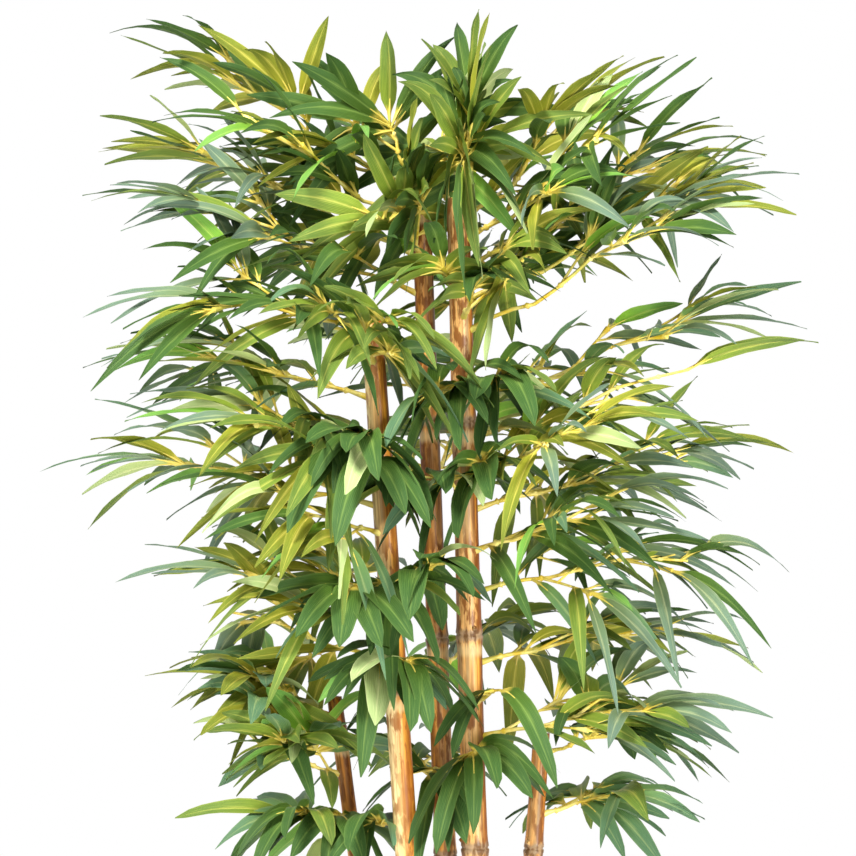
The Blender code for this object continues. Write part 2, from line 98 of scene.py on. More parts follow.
# %% The light
def add_lamp(name, place, aim, size, power):
    """A square soft lamp that looks at a point."""
    lamp = bpy.data.lights.new(name, "AREA")
    lamp.size = size
    lamp.energy = power
    holder = bpy.data.objects.new(name, lamp)
    holder.location = place
    holder.rotation_euler = (Vector(aim) - Vector(place)).to_track_quat("-Z", "Y").to_euler()
    bpy.context.scene.collection.objects.link(holder)


world = bpy.data.worlds.new("studio")
world.use_nodes = True
backdrop = world.node_tree.nodes["Background"]
backdrop.inputs["Color"].default_value = (1, 1, 1, 1)
backdrop.inputs["Strength"].default_value = 1.0
bpy.context.scene.world = world
bpy.context.scene.view_settings.view_transform = "Standard"
add_lamp("key", place=(-1.8, -2.6, 4.2), aim=(0, 0, 1.2), size=1.2, power=330)
add_lamp("fill", place=(2.2, -3.4, 1.3), aim=(0, 0, 1.1), size=1.2, power=165)

# %% [markdown]
# ## Writing finishes as sums
#
# A finish in Blender is a net of nodes. Wiring every sum by hand hides what is meant, so a small
# class wraps a socket and lets Python's own operators add the Math nodes. `1 - mask` then reads as
# it would on paper. Colours would turn grey in a Math node, so they are blended by a Mix node.

# %% Sockets that work in Python sums
class Reading:
    """A node's output that can be used in sums with numbers and other readings."""

    def __init__(self, finish, socket):
        self.finish = finish
        self.socket = socket

    def math(self, operation, *values):
        return self.finish.node("ShaderNodeMath", {"operation": operation}, dict(enumerate(values)))

    def __add__(self, other):
        return self.math("ADD", self, other)

    def __sub__(self, other):
        return self.math("SUBTRACT", self, other)

    def __rsub__(self, other):
        return self.math("SUBTRACT", other, self)

    def __mul__(self, other):
        return self.math("MULTIPLY", self, other)

    __radd__ = __add__
    __rmul__ = __mul__

    def size(self):
        return self.math("ABSOLUTE", self)

    def sine(self):
        return self.math("SINE", self)

    def ramp(self, low, high):
        """0 at low, 1 at high and smooth between them."""
        settings = {"interpolation_type": "SMOOTHSTEP"}
        inputs = {"Value": self, "From Min": low, "From Max": high}
        return self.finish.node("ShaderNodeMapRange", settings, inputs)


# A Mix node has sockets for each kind of value. These are its sockets for colours
MIX_SHARE = 0
MIX_FIRST = 6
MIX_SECOND = 7
MIX_RESULT = 2


class Finish:
    """A Principled material that is being put together."""

    def __init__(self, name, roughness, **constants):
        self.material = bpy.data.materials.new(name)
        self.material.use_nodes = True
        self.tree = self.material.node_tree
        self.shader = self.tree.nodes["Principled BSDF"]
        self.shader.inputs["Roughness"].default_value = roughness
        for socket, value in constants.items():
            self.shader.inputs[socket.replace("_", " ")].default_value = value

    def node(self, kind, settings=None, inputs=None, output=0):
        """Adds a node, first its settings and then its inputs, and returns one of its outputs."""
        made = self.tree.nodes.new(kind)
        for name, value in (settings or {}).items():
            setattr(made, name, value)
        for name, value in (inputs or {}).items():
            self.feed(made.inputs[name], value)
        return Reading(self, made.outputs[output])

    def feed(self, socket, value):
        """Links a reading to a socket, or sets the socket to a number or a colour."""
        if isinstance(value, Reading):
            self.tree.links.new(value.socket, socket)
        else:
            socket.default_value = value

    def mix(self, share, first, second):
        """A colour between two others."""
        colours = [c if isinstance(c, Reading) else (*c, 1) for c in (first, second)]
        inputs = {MIX_SHARE: share, MIX_FIRST: colours[0], MIX_SECOND: colours[1]}
        return self.node("ShaderNodeMix", {"data_type": "RGBA"}, inputs, MIX_RESULT)

    def place(self):
        """The place on the piece, in metres."""
        return self.node("ShaderNodeTexCoord", None, None, "Object")

    def attribute(self, name, output):
        """A value that the mesh carries at its points."""
        return self.node("ShaderNodeAttribute", {"attribute_name": name}, None, output)

    def noise(self, place, scale, detail):
        """A cloudy pattern from 0 to 1 on a place in metres."""
        inputs = {"Vector": place, "Scale": scale, "Detail": detail}
        return self.node("ShaderNodeTexNoise", None, inputs)

    def stretched(self, place, *scale):
        """A place whose axes are scaled apart, which draws a pattern out into streaks."""
        return self.node("ShaderNodeMapping", None, {"Vector": place, "Scale": scale})

    def towards(self, place, compass):
        """How far a place lies in a level direction, in metres."""
        way = (math.cos(math.radians(compass)), math.sin(math.radians(compass)), 0)
        settings = {"operation": "DOT_PRODUCT"}
        return self.node("ShaderNodeVectorMath", settings, {0: place, 1: way}, "Value")

    def bump(self, height, depth, strength):
        """Lets a height in 0 to 1 stand out by a depth in metres."""
        inputs = {"Height": height, "Distance": depth, "Strength": strength}
        self.feed(self.shader.inputs["Normal"], self.node("ShaderNodeBump", None, inputs))

    def colour(self, value):
        """The finish's own colour."""
        value = value if isinstance(value, Reading) else (*value, 1)
        self.feed(self.shader.inputs["Base Color"], value)


def add_piece(name, mesh, material):
    """Puts a finished mesh into the scene at the origin, riding on the plant's one body."""
    piece = bpy.data.objects.new(name, mesh)
    bpy.context.scene.collection.objects.link(piece)
    mesh.materials.append(material)
    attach(piece, "root")
    return piece


# %% [markdown]
# ## The floor
#
# The plant stands on a plain pale floor. A wide disc does, because its edge stays far outside every
# picture. It belongs to the studio and not to the plant, so it is not attached to the plant's body.

# %% The floor
FLOOR_RADIUS = 6.0
FLOOR_COLOUR = (0.86, 0.86, 0.86)

floor_form = bmesh.new()
bmesh.ops.create_circle(floor_form, cap_ends=True, segments=96, radius=FLOOR_RADIUS)
floor_mesh = bpy.data.meshes.new("floor")
floor_form.to_mesh(floor_mesh)
floor_form.free()
floor_finish = Finish("pale_floor", 0.9)
floor_finish.colour(FLOOR_COLOUR)
floor = bpy.data.objects.new("floor", floor_mesh)
floor_mesh.materials.append(floor_finish.material)
bpy.context.scene.collection.objects.link(floor)
print("floor radius:", FLOOR_RADIUS)

# %% [markdown]
# ## The canes
#
# Each cane is one natural bamboo pole. It tapers a little, and every 20 to 25 cm it has a joint: a
# scar where the sheath sat, a groove and a lip above it. A cylinder with a bump pattern would keep
# a straight outline, so the joints are real shape. The outline of a cane is drawn once as points of
# radius and height, and spin turns it round. Then it is roughened by fractions of a millimetre.
#
# Before the upright cane is leant over, each point remembers where it was. The finish reads that
# place, so that its streaks run along the cane and not straight up.

# %% Canes: their places
FILL_LEVEL = 0.170
FIT_GAP = 0.0003
NODE_SWELL = 0.0016
TOP_ROOM = 0.012
Cane = namedtuple("Cane", "foot top foot_radius top_radius first_node internode")
CANES = {
    "cane_left_short": Cane((-0.030, 0.032), (-0.145, 0.050, 1.030), 0.0102, 0.0085, 0.388, 0.200),
    "cane_left": Cane((-0.018, -0.030), (-0.102, -0.066, 1.453), 0.0142, 0.0122, 0.310, 0.245),
    "cane_middle": Cane((0.004, 0.012), (-0.050, 0.030, 1.618), 0.0134, 0.0108, 0.377, 0.240),
    "cane_right": Cane((0.029, -0.022), (-0.008, -0.020, 1.580), 0.0152, 0.0128, 0.404, 0.233),
    "cane_right_short": Cane((0.030, 0.042), (0.086, 0.060, 0.988), 0.0118, 0.0098, 0.460, 0.200),
}


def cane_foot(cane):
    """The lower end of a cane's axis."""
    return Vector((*cane.foot, FILL_LEVEL + FIT_GAP))


def cane_share(cane, height):
    """How far up its cane a height is, from 0 at the foot to 1 at the top."""
    return (height - FILL_LEVEL - FIT_GAP) / (cane.top[2] - FILL_LEVEL - FIT_GAP)


def cane_point(cane, height):
    """The point of a cane's axis at a height."""
    return cane_foot(cane).lerp(Vector(cane.top), cane_share(cane, height))


def cane_radius(cane, height):
    """The radius of a cane at a height, between its joints."""
    share = cane_share(cane, height)
    return cane.foot_radius * (1 - share) + cane.top_radius * share


def joint_heights(cane):
    """The heights of a cane's joints."""
    count = int((cane.top[2] - TOP_ROOM - cane.first_node) / cane.internode) + 1
    return [cane.first_node + cane.internode * i for i in range(count)]


# %% Canes: spinning an outline
MERGE_DISTANCE = 1e-5


def spun(section, segments):
    """Spins a section of (radius, height) points into a closed mesh in a bmesh."""
    bm = bmesh.new()
    verts = [bm.verts.new((radius, 0, height)) for radius, height in section]
    edges = [bm.edges.new(pair) for pair in zip(verts, verts[1:])]
    bmesh.ops.spin(bm, geom=verts + edges, cent=(0, 0, 0), axis=(0, 0, 1), angle=math.tau,
                   steps=segments, use_merge=True)
    bmesh.ops.remove_doubles(bm, verts=bm.verts, dist=MERGE_DISTANCE)
    bmesh.ops.recalc_face_normals(bm, faces=bm.faces)
    return bm


def smooth_mesh(name, bm, sharp_from):
    """Turns a bmesh into a smooth mesh whose edges stay sharp from an angle in degrees on."""
    mesh = bpy.data.meshes.new(name)
    bm.to_mesh(mesh)
    bm.free()
    mesh.shade_smooth()
    mesh.set_sharp_from_angle(angle=math.radians(sharp_from))
    return mesh


# %% Canes: the outline
RING_STEP = 0.028
JOINT_ROOM = 0.034
WALL = 0.0032
HOLLOW = 0.016
WAIST = 0.0004
# The profile of a joint: height from its middle, and the share of the swelling there
JOINT_PROFILE = (
    (-0.030, 0), (-0.024, 0.01), (-0.018, 0.03), (-0.011, 0.22), (-0.0062, 0.62),
    (-0.0036, 1.0), (-0.0018, 0.92), (-0.0008, 0.30), (0.0006, 0.24), (0.0018, 0.80),
    (0.0040, 0.72), (0.0075, 0.34), (0.014, 0.08),
)


def cane_outline(cane):
    """The cane's profile from the middle of its foot to the middle of its hollow end."""
    joints = joint_heights(cane)
    low = FILL_LEVEL + FIT_GAP
    high = cane.top[2]
    heights = {}
    for middle in joints:
        for offset, share in JOINT_PROFILE:
            if low < middle + offset < high:
                heights[middle + offset] = share * NODE_SWELL
    steps = int((high - low) / RING_STEP)
    for i in range(steps + 1):
        height = low + (high - low) * i / steps
        nearest = min(abs(height - middle) for middle in joints)
        if nearest > JOINT_ROOM:
            heights[height] = -WAIST * math.sin(math.pi * min(nearest / cane.internode, 0.5))
    rings = [(cane_radius(cane, height) + heights[height], height) for height in sorted(heights)]
    rim = rings[-1][0]
    end = [(rim, high), (rim - WALL, high), (rim - WALL, high - HOLLOW), (0, high - HOLLOW)]
    return [(0, rings[0][1])] + rings[:-1] + end


# %% Canes: the stubs of cut branches
STUB_SEGMENTS = 12
STUB_LENGTH = 0.0075
STUB_RADIUS = 0.0032
STUB_END_RADIUS = 0.0021
# How steeply a stub rises, the share of the cane's radius at which it sits, how far above the
# joint, and how far it is drawn out
STUB_SLOPE = 0.8
STUB_SEAT = 0.94
STUB_ABOVE = 0.005
STUB_OUT = 0.002
# The turn from one joint's stub to the next, and from one cane's first stub to the next cane's
STUB_TURN = 137.5
CANE_TURN = 80


def add_stubs(bm, cane, number):
    """Adds the stub of a cut branch above each joint."""
    for i, height in enumerate(joint_heights(cane)):
        turn = math.radians(STUB_TURN * i + CANE_TURN * number)
        out = Vector((math.cos(turn), math.sin(turn), STUB_SLOPE)).normalized()
        seat = Vector((math.cos(turn), math.sin(turn), 0)) * cane_radius(cane, height) * STUB_SEAT
        placed = Matrix.Translation(seat + UP * (height + STUB_ABOVE) + out * STUB_OUT)
        placed = placed @ out.to_track_quat("Z", "Y").to_matrix().to_4x4()
        bmesh.ops.create_cone(bm, cap_ends=True, segments=STUB_SEGMENTS, radius1=STUB_RADIUS,
                              radius2=STUB_END_RADIUS, depth=STUB_LENGTH, matrix=placed)
    bmesh.ops.recalc_face_normals(bm, faces=bm.faces)


# %% Canes: the skin
ROUGHNESS = 0.00028
JOINT_DROP = 0.0005
JOINT_REACH = 0.0125
BLOOM_DROP = 0.017
BLOOM_REACH = 0.013
# Points nearer to the axis than this are the middles of the two ends and stay smooth
SKIN_FROM = 0.004
# The roughness is a slow wave, another one on each cane, and fine pits at the joints
WAVE_ROUND = 1.6
WAVE_ALONG = 14
WAVE_SHIFT = 9
PITS_ACROSS = 420
PITS_ALONG = 260
PIT_SHARE = 0.6


def roughened(place, number, joint_share):
    """A point of the skin after it is pushed in or out a little."""
    way = place.xy.normalized()
    height = place.z * WAVE_ALONG + number * WAVE_SHIFT
    wave = noise.noise(Vector((way.x * WAVE_ROUND, way.y * WAVE_ROUND, height)))
    height = place.z * PITS_ALONG + number
    pitted = noise.noise(Vector((place.x * PITS_ACROSS, place.y * PITS_ACROSS, height)))
    push = way * (wave + PIT_SHARE * pitted * joint_share) * ROUGHNESS
    return place + Vector((push.x, push.y, 0))


def lean(cane, place):
    """Where a point of the upright cane comes to on the leaning one."""
    axis = cane_point(cane, place.z)
    return Vector((place.x + axis.x, place.y + axis.y, place.z))


def finish_skin(bm, cane, number):
    """Marks each point for the finish, roughens it and leans it over with its cane."""
    joints = joint_heights(cane)
    grain = bm.verts.layers.float_vector.new("grain")
    joint = bm.verts.layers.float.new("joint")
    bloom = bm.verts.layers.float.new("bloom")
    for vert in bm.verts:
        place = vert.co.copy()
        off = min((place.z - middle for middle in joints), key=abs)
        vert[grain] = place
        vert[joint] = max(0.0, 1 - abs(off + JOINT_DROP) / JOINT_REACH)
        vert[bloom] = max(0.0, 1 - abs(off + BLOOM_DROP) / BLOOM_REACH)
        if place.xy.length > SKIN_FROM:
            place = roughened(place, number, vert[joint])
        vert.co = lean(cane, place)


# %% Canes: putting one together
CANE_SEGMENTS = 36
CANE_SHARP_FROM = 50


def make_cane(name, cane, number, material):
    """One finished cane with its joints, its cut branch stubs and its hollow end."""
    bm = spun(cane_outline(cane), CANE_SEGMENTS)
    add_stubs(bm, cane, number)
    finish_skin(bm, cane, number)
    mesh = smooth_mesh(name + "_pole", bm, CANE_SHARP_FROM)
    pole = add_piece(name + "_pole", mesh, material)
    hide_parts(name)
    print(pole.name, "faces:", len(mesh.polygons))


# %% [markdown]
# ## Varnished bamboo
#
# Dry bamboo is golden orange under a thin varnish. Fine brown fibres run along it, and the joints
# are grey-brown and rough, with a pale bloom below. One side is painted cream, partly as bleaching
# and partly as a painted highlight, and another side is darkened to brown as painted shade. Every
# cane has its own strength of each, so each gets its own finish from the same recipe.

# %% Varnished bamboo
# How strong the cream side is, partly bleaching and partly a painted highlight, and how strong the
# painted shade on the dark side is, go from 0 to 1. The sides are compass angles
Tint = namedtuple("Tint", "gold brown bleach side stain dark_side")
CANE_TINTS = {
    "cane_left_short": Tint((0.68, 0.24, 0.020), (0.15, 0.042, 0.006), 0.20, 230, 0.7, 350),
    "cane_left": Tint((0.84, 0.37, 0.043), (0.28, 0.085, 0.011), 0.95, 215, 0.9, 5),
    "cane_middle": Tint((0.75, 0.28, 0.024), (0.16, 0.045, 0.006), 0.25, 290, 0.8, 185),
    "cane_right": Tint((0.84, 0.33, 0.028), (0.20, 0.056, 0.007), 0.42, 258, 0.9, 0),
    "cane_right_short": Tint((0.80, 0.29, 0.024), (0.18, 0.052, 0.007), 0.45, 250, 0.8, 0),
}
CREAM = (0.88, 0.69, 0.34)
JOINT_BROWN = (0.13, 0.066, 0.028)
JOINT_GREY = (0.33, 0.23, 0.14)
SIDE_CONTRAST = 70
SIDE_CLOUDS = 1.2


def bamboo_finish(name, tint):
    """The varnished skin of one cane."""
    skin = Finish(name + "_skin", 0.38, Coat_Weight=0.08, Coat_Roughness=0.20, Specular_IOR_Level=0.18)
    place = skin.attribute("grain", "Vector")
    joint = skin.attribute("joint", "Fac")
    bloom = skin.attribute("bloom", "Fac")
    fibres = skin.noise(skin.stretched(place, 1, 1, 0.030), 420, 5)
    streaks = skin.noise(skin.stretched(place, 1, 1, 0.055), 120, 4)
    clouds = skin.noise(skin.stretched(place, 1, 1, 0.35), 30, 2)
    flecks = skin.noise(skin.stretched(place, 1, 1, 0.30), 190, 4)
    # Clouds that break up the edges of the cream side and of the painted shade
    side_mottle = clouds * SIDE_CLOUDS
    # The cream side: partly bleaching, partly a painted highlight
    bleached_lit_side = (skin.towards(place, tint.side) * SIDE_CONTRAST + side_mottle).ramp(0.75, 1.5)
    # Painted shade: one side of the cane is darkened to brown
    painted_shade_mask = (skin.towards(place, tint.dark_side) * SIDE_CONTRAST + side_mottle).ramp(1.05, 1.55)
    colour = skin.mix(streaks.ramp(0.38, 0.62), tint.brown, tint.gold)
    # The cream side goes on, partly bleaching and partly a painted highlight
    colour = skin.mix(bleached_lit_side * tint.bleach, colour, CREAM)
    # The painted shade goes on here
    colour = skin.mix(painted_shade_mask * tint.stain, colour, tint.brown)
    colour = skin.mix(fibres.ramp(0.55, 0.38) * 0.50, colour, tint.brown)
    colour = skin.mix(flecks.ramp(0.46, 0.57) * clouds.ramp(0.36, 0.52) * 0.85, colour, tint.brown)
    colour = skin.mix((bloom + (fibres - 0.5) * 0.8).ramp(0.25, 0.80) * 0.45, colour, CREAM)
    rough = (joint + (fibres - 0.5) * 0.9 + (flecks - 0.5) * 0.9).ramp(0.22, 0.72)
    colour = skin.mix(rough * 0.85, colour, skin.mix(flecks.ramp(0.42, 0.60), JOINT_GREY, JOINT_BROWN))
    skin.colour(colour)
    skin.bump(fibres * 0.5 + streaks * 0.5, 0.0003, 0.5)
    return skin.material


for number, (name, cane) in enumerate(CANES.items()):
    make_cane(name, cane, number, bamboo_finish(name, CANE_TINTS[name]))

# %% [markdown]
# ## The pot
#
# The photograph ends above the pot, so a plain round one is made, moulded in dark plastic with a
# thick lip. Its section is a short list of corners that spin turns round. Bevelling the sharp turns
# afterwards gives the rounded edges that catch the light on any moulded thing.

# %% The pot
POT_HEIGHT = 0.190
POT_RIM_RADIUS = 0.112
POT_FOOT_RADIUS = 0.086
POT_WALL = 0.004
POT_FLOOR = 0.005
LIP_HEIGHT = 0.022
LIP_PROUD = 0.004
POT_SEGMENTS = 112
SHARP_FROM = 60
# Under the pot a shallow recess leaves a ring to stand on, with a sloping inner side
FOOT_RECESS = 0.0025
FOOT_RING = 0.010
FOOT_SLOPE_END = 0.012
# Two shallow bands run round the wall: their heights, and their profile as offset and depth
BAND_HEIGHTS = (0.030, 0.142)
BAND_DEPTH = 0.0008
BAND_PROFILE = ((-0.004, 0), (-0.003, BAND_DEPTH), (0.003, BAND_DEPTH), (0.004, 0))
# Edges that turn by more than this many degrees are bevelled
BEVEL_FROM = 30
BEVEL = 0.0011


def pot_radius(height):
    """The radius of the pot's outside at a height."""
    return POT_FOOT_RADIUS + (POT_RIM_RADIUS - POT_FOOT_RADIUS) * height / POT_HEIGHT


def round_edges(bm):
    """Bevels every edge whose two faces turn sharply."""
    limit = math.radians(BEVEL_FROM)
    sharp = [e for e in bm.edges if e.is_manifold and e.calc_face_angle() > limit]
    bmesh.ops.bevel(bm, geom=sharp, offset=BEVEL, offset_type="OFFSET", affect="EDGES",
                    segments=2, profile=0.5, material=-1, clamp_overlap=True)


def pot_section():
    """The pot's section: foot ring, wall with two shallow bands, lip, and the inside."""
    lip_foot = POT_HEIGHT - LIP_HEIGHT
    section = [(0, FOOT_RECESS),
               (pot_radius(0) - FOOT_SLOPE_END, FOOT_RECESS),
               (pot_radius(0) - FOOT_RING, 0),
               (pot_radius(0), 0)]
    for middle in BAND_HEIGHTS:
        for offset, depth in BAND_PROFILE:
            section.append((pot_radius(middle + offset) - depth, middle + offset))
    section += [(pot_radius(lip_foot), lip_foot),
                (pot_radius(lip_foot) + LIP_PROUD, lip_foot),
                (pot_radius(POT_HEIGHT) + LIP_PROUD, POT_HEIGHT),
                (pot_radius(POT_HEIGHT) - POT_WALL, POT_HEIGHT),
                (pot_radius(POT_FLOOR) - POT_WALL, POT_FLOOR),
                (0, POT_FLOOR)]
    return section


pot_form = spun(pot_section(), POT_SEGMENTS)
round_edges(pot_form)
pot_mesh = smooth_mesh("pot_shell", pot_form, SHARP_FROM)
plastic = Finish("moulded_plastic", 0.5)
place = plastic.place()
mottle = plastic.noise(place, 35, 4)
pores = plastic.noise(place, 900, 2)
plastic.colour(plastic.mix(mottle.ramp(0.35, 0.7), (0.022, 0.022, 0.024), (0.036, 0.036, 0.038)))
plastic.feed(plastic.shader.inputs["Roughness"], mottle * 0.2 + 0.42)
plastic.bump(pores, 0.0003, 0.35)
pot = add_piece("pot_shell", pot_mesh, plastic.material)
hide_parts("pot")
print("pot faces:", len(pot_mesh.polygons))

# %% [markdown]
# ## The filling
#
# The canes of such a plant are set in a hard filling, which is covered by a loose layer so that it
# doesn't show. The photograph doesn't show it either, so it is a guess: dark bark chips. The plug
# is spun and its top is roughened. The chips are flattened, bevelled blocks, dropped by a seeded
# rule where there is room between the canes.

# %% The filling
FILL_SIDE_GAP = 0.00045
FILL_RINGS = 22
FILL_SEGMENTS = 72
RELIEF = 0.0016
RELIEF_SCALE = 60
LEVEL_TOLERANCE = 1e-4


def fill_section():
    """The plug's section, with many rings on its top for the relief."""
    foot = POT_FLOOR + FIT_GAP
    foot_radius = pot_radius(foot) - POT_WALL - FILL_SIDE_GAP
    top_radius = pot_radius(FILL_LEVEL) - POT_WALL - FILL_SIDE_GAP
    rings = [(top_radius * (1 - i / FILL_RINGS), FILL_LEVEL) for i in range(FILL_RINGS)]
    return [(0, foot), (foot_radius, foot)] + rings + [(0, FILL_LEVEL)]


fill_form = spun(fill_section(), FILL_SEGMENTS)
for vert in fill_form.verts:
    if vert.co.z > FILL_LEVEL - LEVEL_TOLERANCE:
        bumps = noise.noise(Vector((vert.co.x, vert.co.y, 0)) * RELIEF_SCALE)
        vert.co.z -= RELIEF * (1 + bumps)
fill_mesh = smooth_mesh("pot_filling", fill_form, SHARP_FROM)
earthy = Finish("filling", 0.95)
crumbs = earthy.noise(earthy.place(), 240, 5)
earthy.colour(earthy.mix(crumbs.ramp(0.35, 0.68), (0.020, 0.012, 0.008), (0.090, 0.055, 0.032)))
earthy.bump(crumbs, 0.002, 0.8)
filling = add_piece("pot_filling", fill_mesh, earthy.material)
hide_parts("pot_fill")
print("filling faces:", len(fill_mesh.polygons))

# %% The bark chips
CHIP_COUNT = 420
CHIP_SEED = 11
CHIP_ROOM = 0.104
CHIP_SIZE = 0.011
CHIP_SIZES = (0.7, 1.5)
# The form of a chip of unit size
CHIP_FORM = (1.0, 0.62, 0.20)
CHIP_BEVEL = 0.07
WARP = 0.10
WARP_SCALE = 2.3
BEND = 0.12
# How much of its size a chip keeps from the pot's wall and from the canes, how far it is tilted, in
# radians, and how high it may lie on others
WALL_ROOM = 0.6
CANE_ROOM = 0.55
CHIP_TILT = 0.5
CHIP_LIFT = 0.006


def chip_template():
    """One bark chip of unit size: a bevelled block, warped and bent a little."""
    bm = bmesh.new()
    bmesh.ops.create_cube(bm, size=1)
    bmesh.ops.scale(bm, vec=CHIP_FORM, verts=bm.verts)
    bmesh.ops.bevel(bm, geom=bm.edges[:], offset=CHIP_BEVEL, offset_type="OFFSET", affect="EDGES",
                    segments=1, profile=0.5, material=-1)
    for vert in bm.verts:
        vert.co += noise.noise_vector(vert.co * WARP_SCALE) * WARP
        vert.co.z += BEND * vert.co.x ** 2
    bmesh.ops.recalc_face_normals(bm, faces=bm.faces)
    return bm


def mesh_of_copies(name, template, places):
    """Joins moved copies of one small bmesh into a single mesh, by arrays."""
    corners = np.array([vert.co for vert in template.verts])
    faces = [[vert.index for vert in face.verts] for face in template.faces]
    placed = [corners @ np.array(m.to_3x3()).T + np.array(m.translation) for m in places]
    joined = [[i + n * len(corners) for i in face] for n in range(len(places)) for face in faces]
    mesh = bpy.data.meshes.new(name)
    mesh.from_pydata(np.concatenate(placed).tolist(), [], joined)
    return mesh


def chip_places(rng):
    """Where each chip lies: anywhere on the filling but in a cane."""
    places = []
    while len(places) < CHIP_COUNT:
        out = CHIP_ROOM * math.sqrt(rng.random())
        turn = rng.uniform(0, math.tau)
        spot = Vector((out * math.cos(turn), out * math.sin(turn), FILL_LEVEL))
        size = CHIP_SIZE * rng.uniform(*CHIP_SIZES)
        if out + size * WALL_ROOM > pot_radius(FILL_LEVEL) - POT_WALL:
            continue
        near = [(spot - cane_foot(c)).xy.length - c.foot_radius for c in CANES.values()]
        if min(near) < size * CANE_ROOM:
            continue
        tilt = Matrix.Rotation(rng.uniform(-CHIP_TILT, CHIP_TILT), 4, "X")
        tilt = tilt @ Matrix.Rotation(rng.uniform(-CHIP_TILT, CHIP_TILT), 4, "Y")
        turned = Matrix.Rotation(rng.uniform(0, math.tau), 4, "Z")
        lifted = spot + UP * rng.uniform(0, CHIP_LIFT)
        places.append(Matrix.Translation(lifted) @ turned @ tilt @ Matrix.Scale(size, 4))
    return places


# Without a seed, the noise that warps a chip follows the clock and differs from run to run
noise.seed_set(CHIP_SEED)
chip_form = chip_template()
chip_mesh = mesh_of_copies("bark_chips", chip_form, chip_places(random.Random(CHIP_SEED)))
chip_form.free()
bark = Finish("bark_chips", 0.85)
place = bark.place()
shades = bark.noise(place, 110, 1)
grain = bark.noise(place, 700, 4)
colour = bark.mix(shades.ramp(0.32, 0.70), (0.045, 0.022, 0.012), (0.19, 0.095, 0.048))
bark.colour(bark.mix(grain.ramp(0.62, 0.40) * 0.5, colour, (0.020, 0.011, 0.007)))
bark.bump(grain, 0.0006, 0.7)
chips = add_piece("bark_chips", chip_mesh, bark.material)
print("bark chips:", CHIP_COUNT, "faces:", len(chip_mesh.polygons))

# %% [markdown]
# ## Where the sprays are
#
# Each spray is one moulded twig with its leaves, pushed into a hole in its cane. The list says how
# high, which way (0 right, 90 back, 180 left, 270 front), how far its last leaf reaches, how far
# that tip is above the hole, how high the spray arches for its length, and how far its leaf fans
# are turned about the twig. It is the plain solids' own list, so the finished sprays reach to the
# same tips.

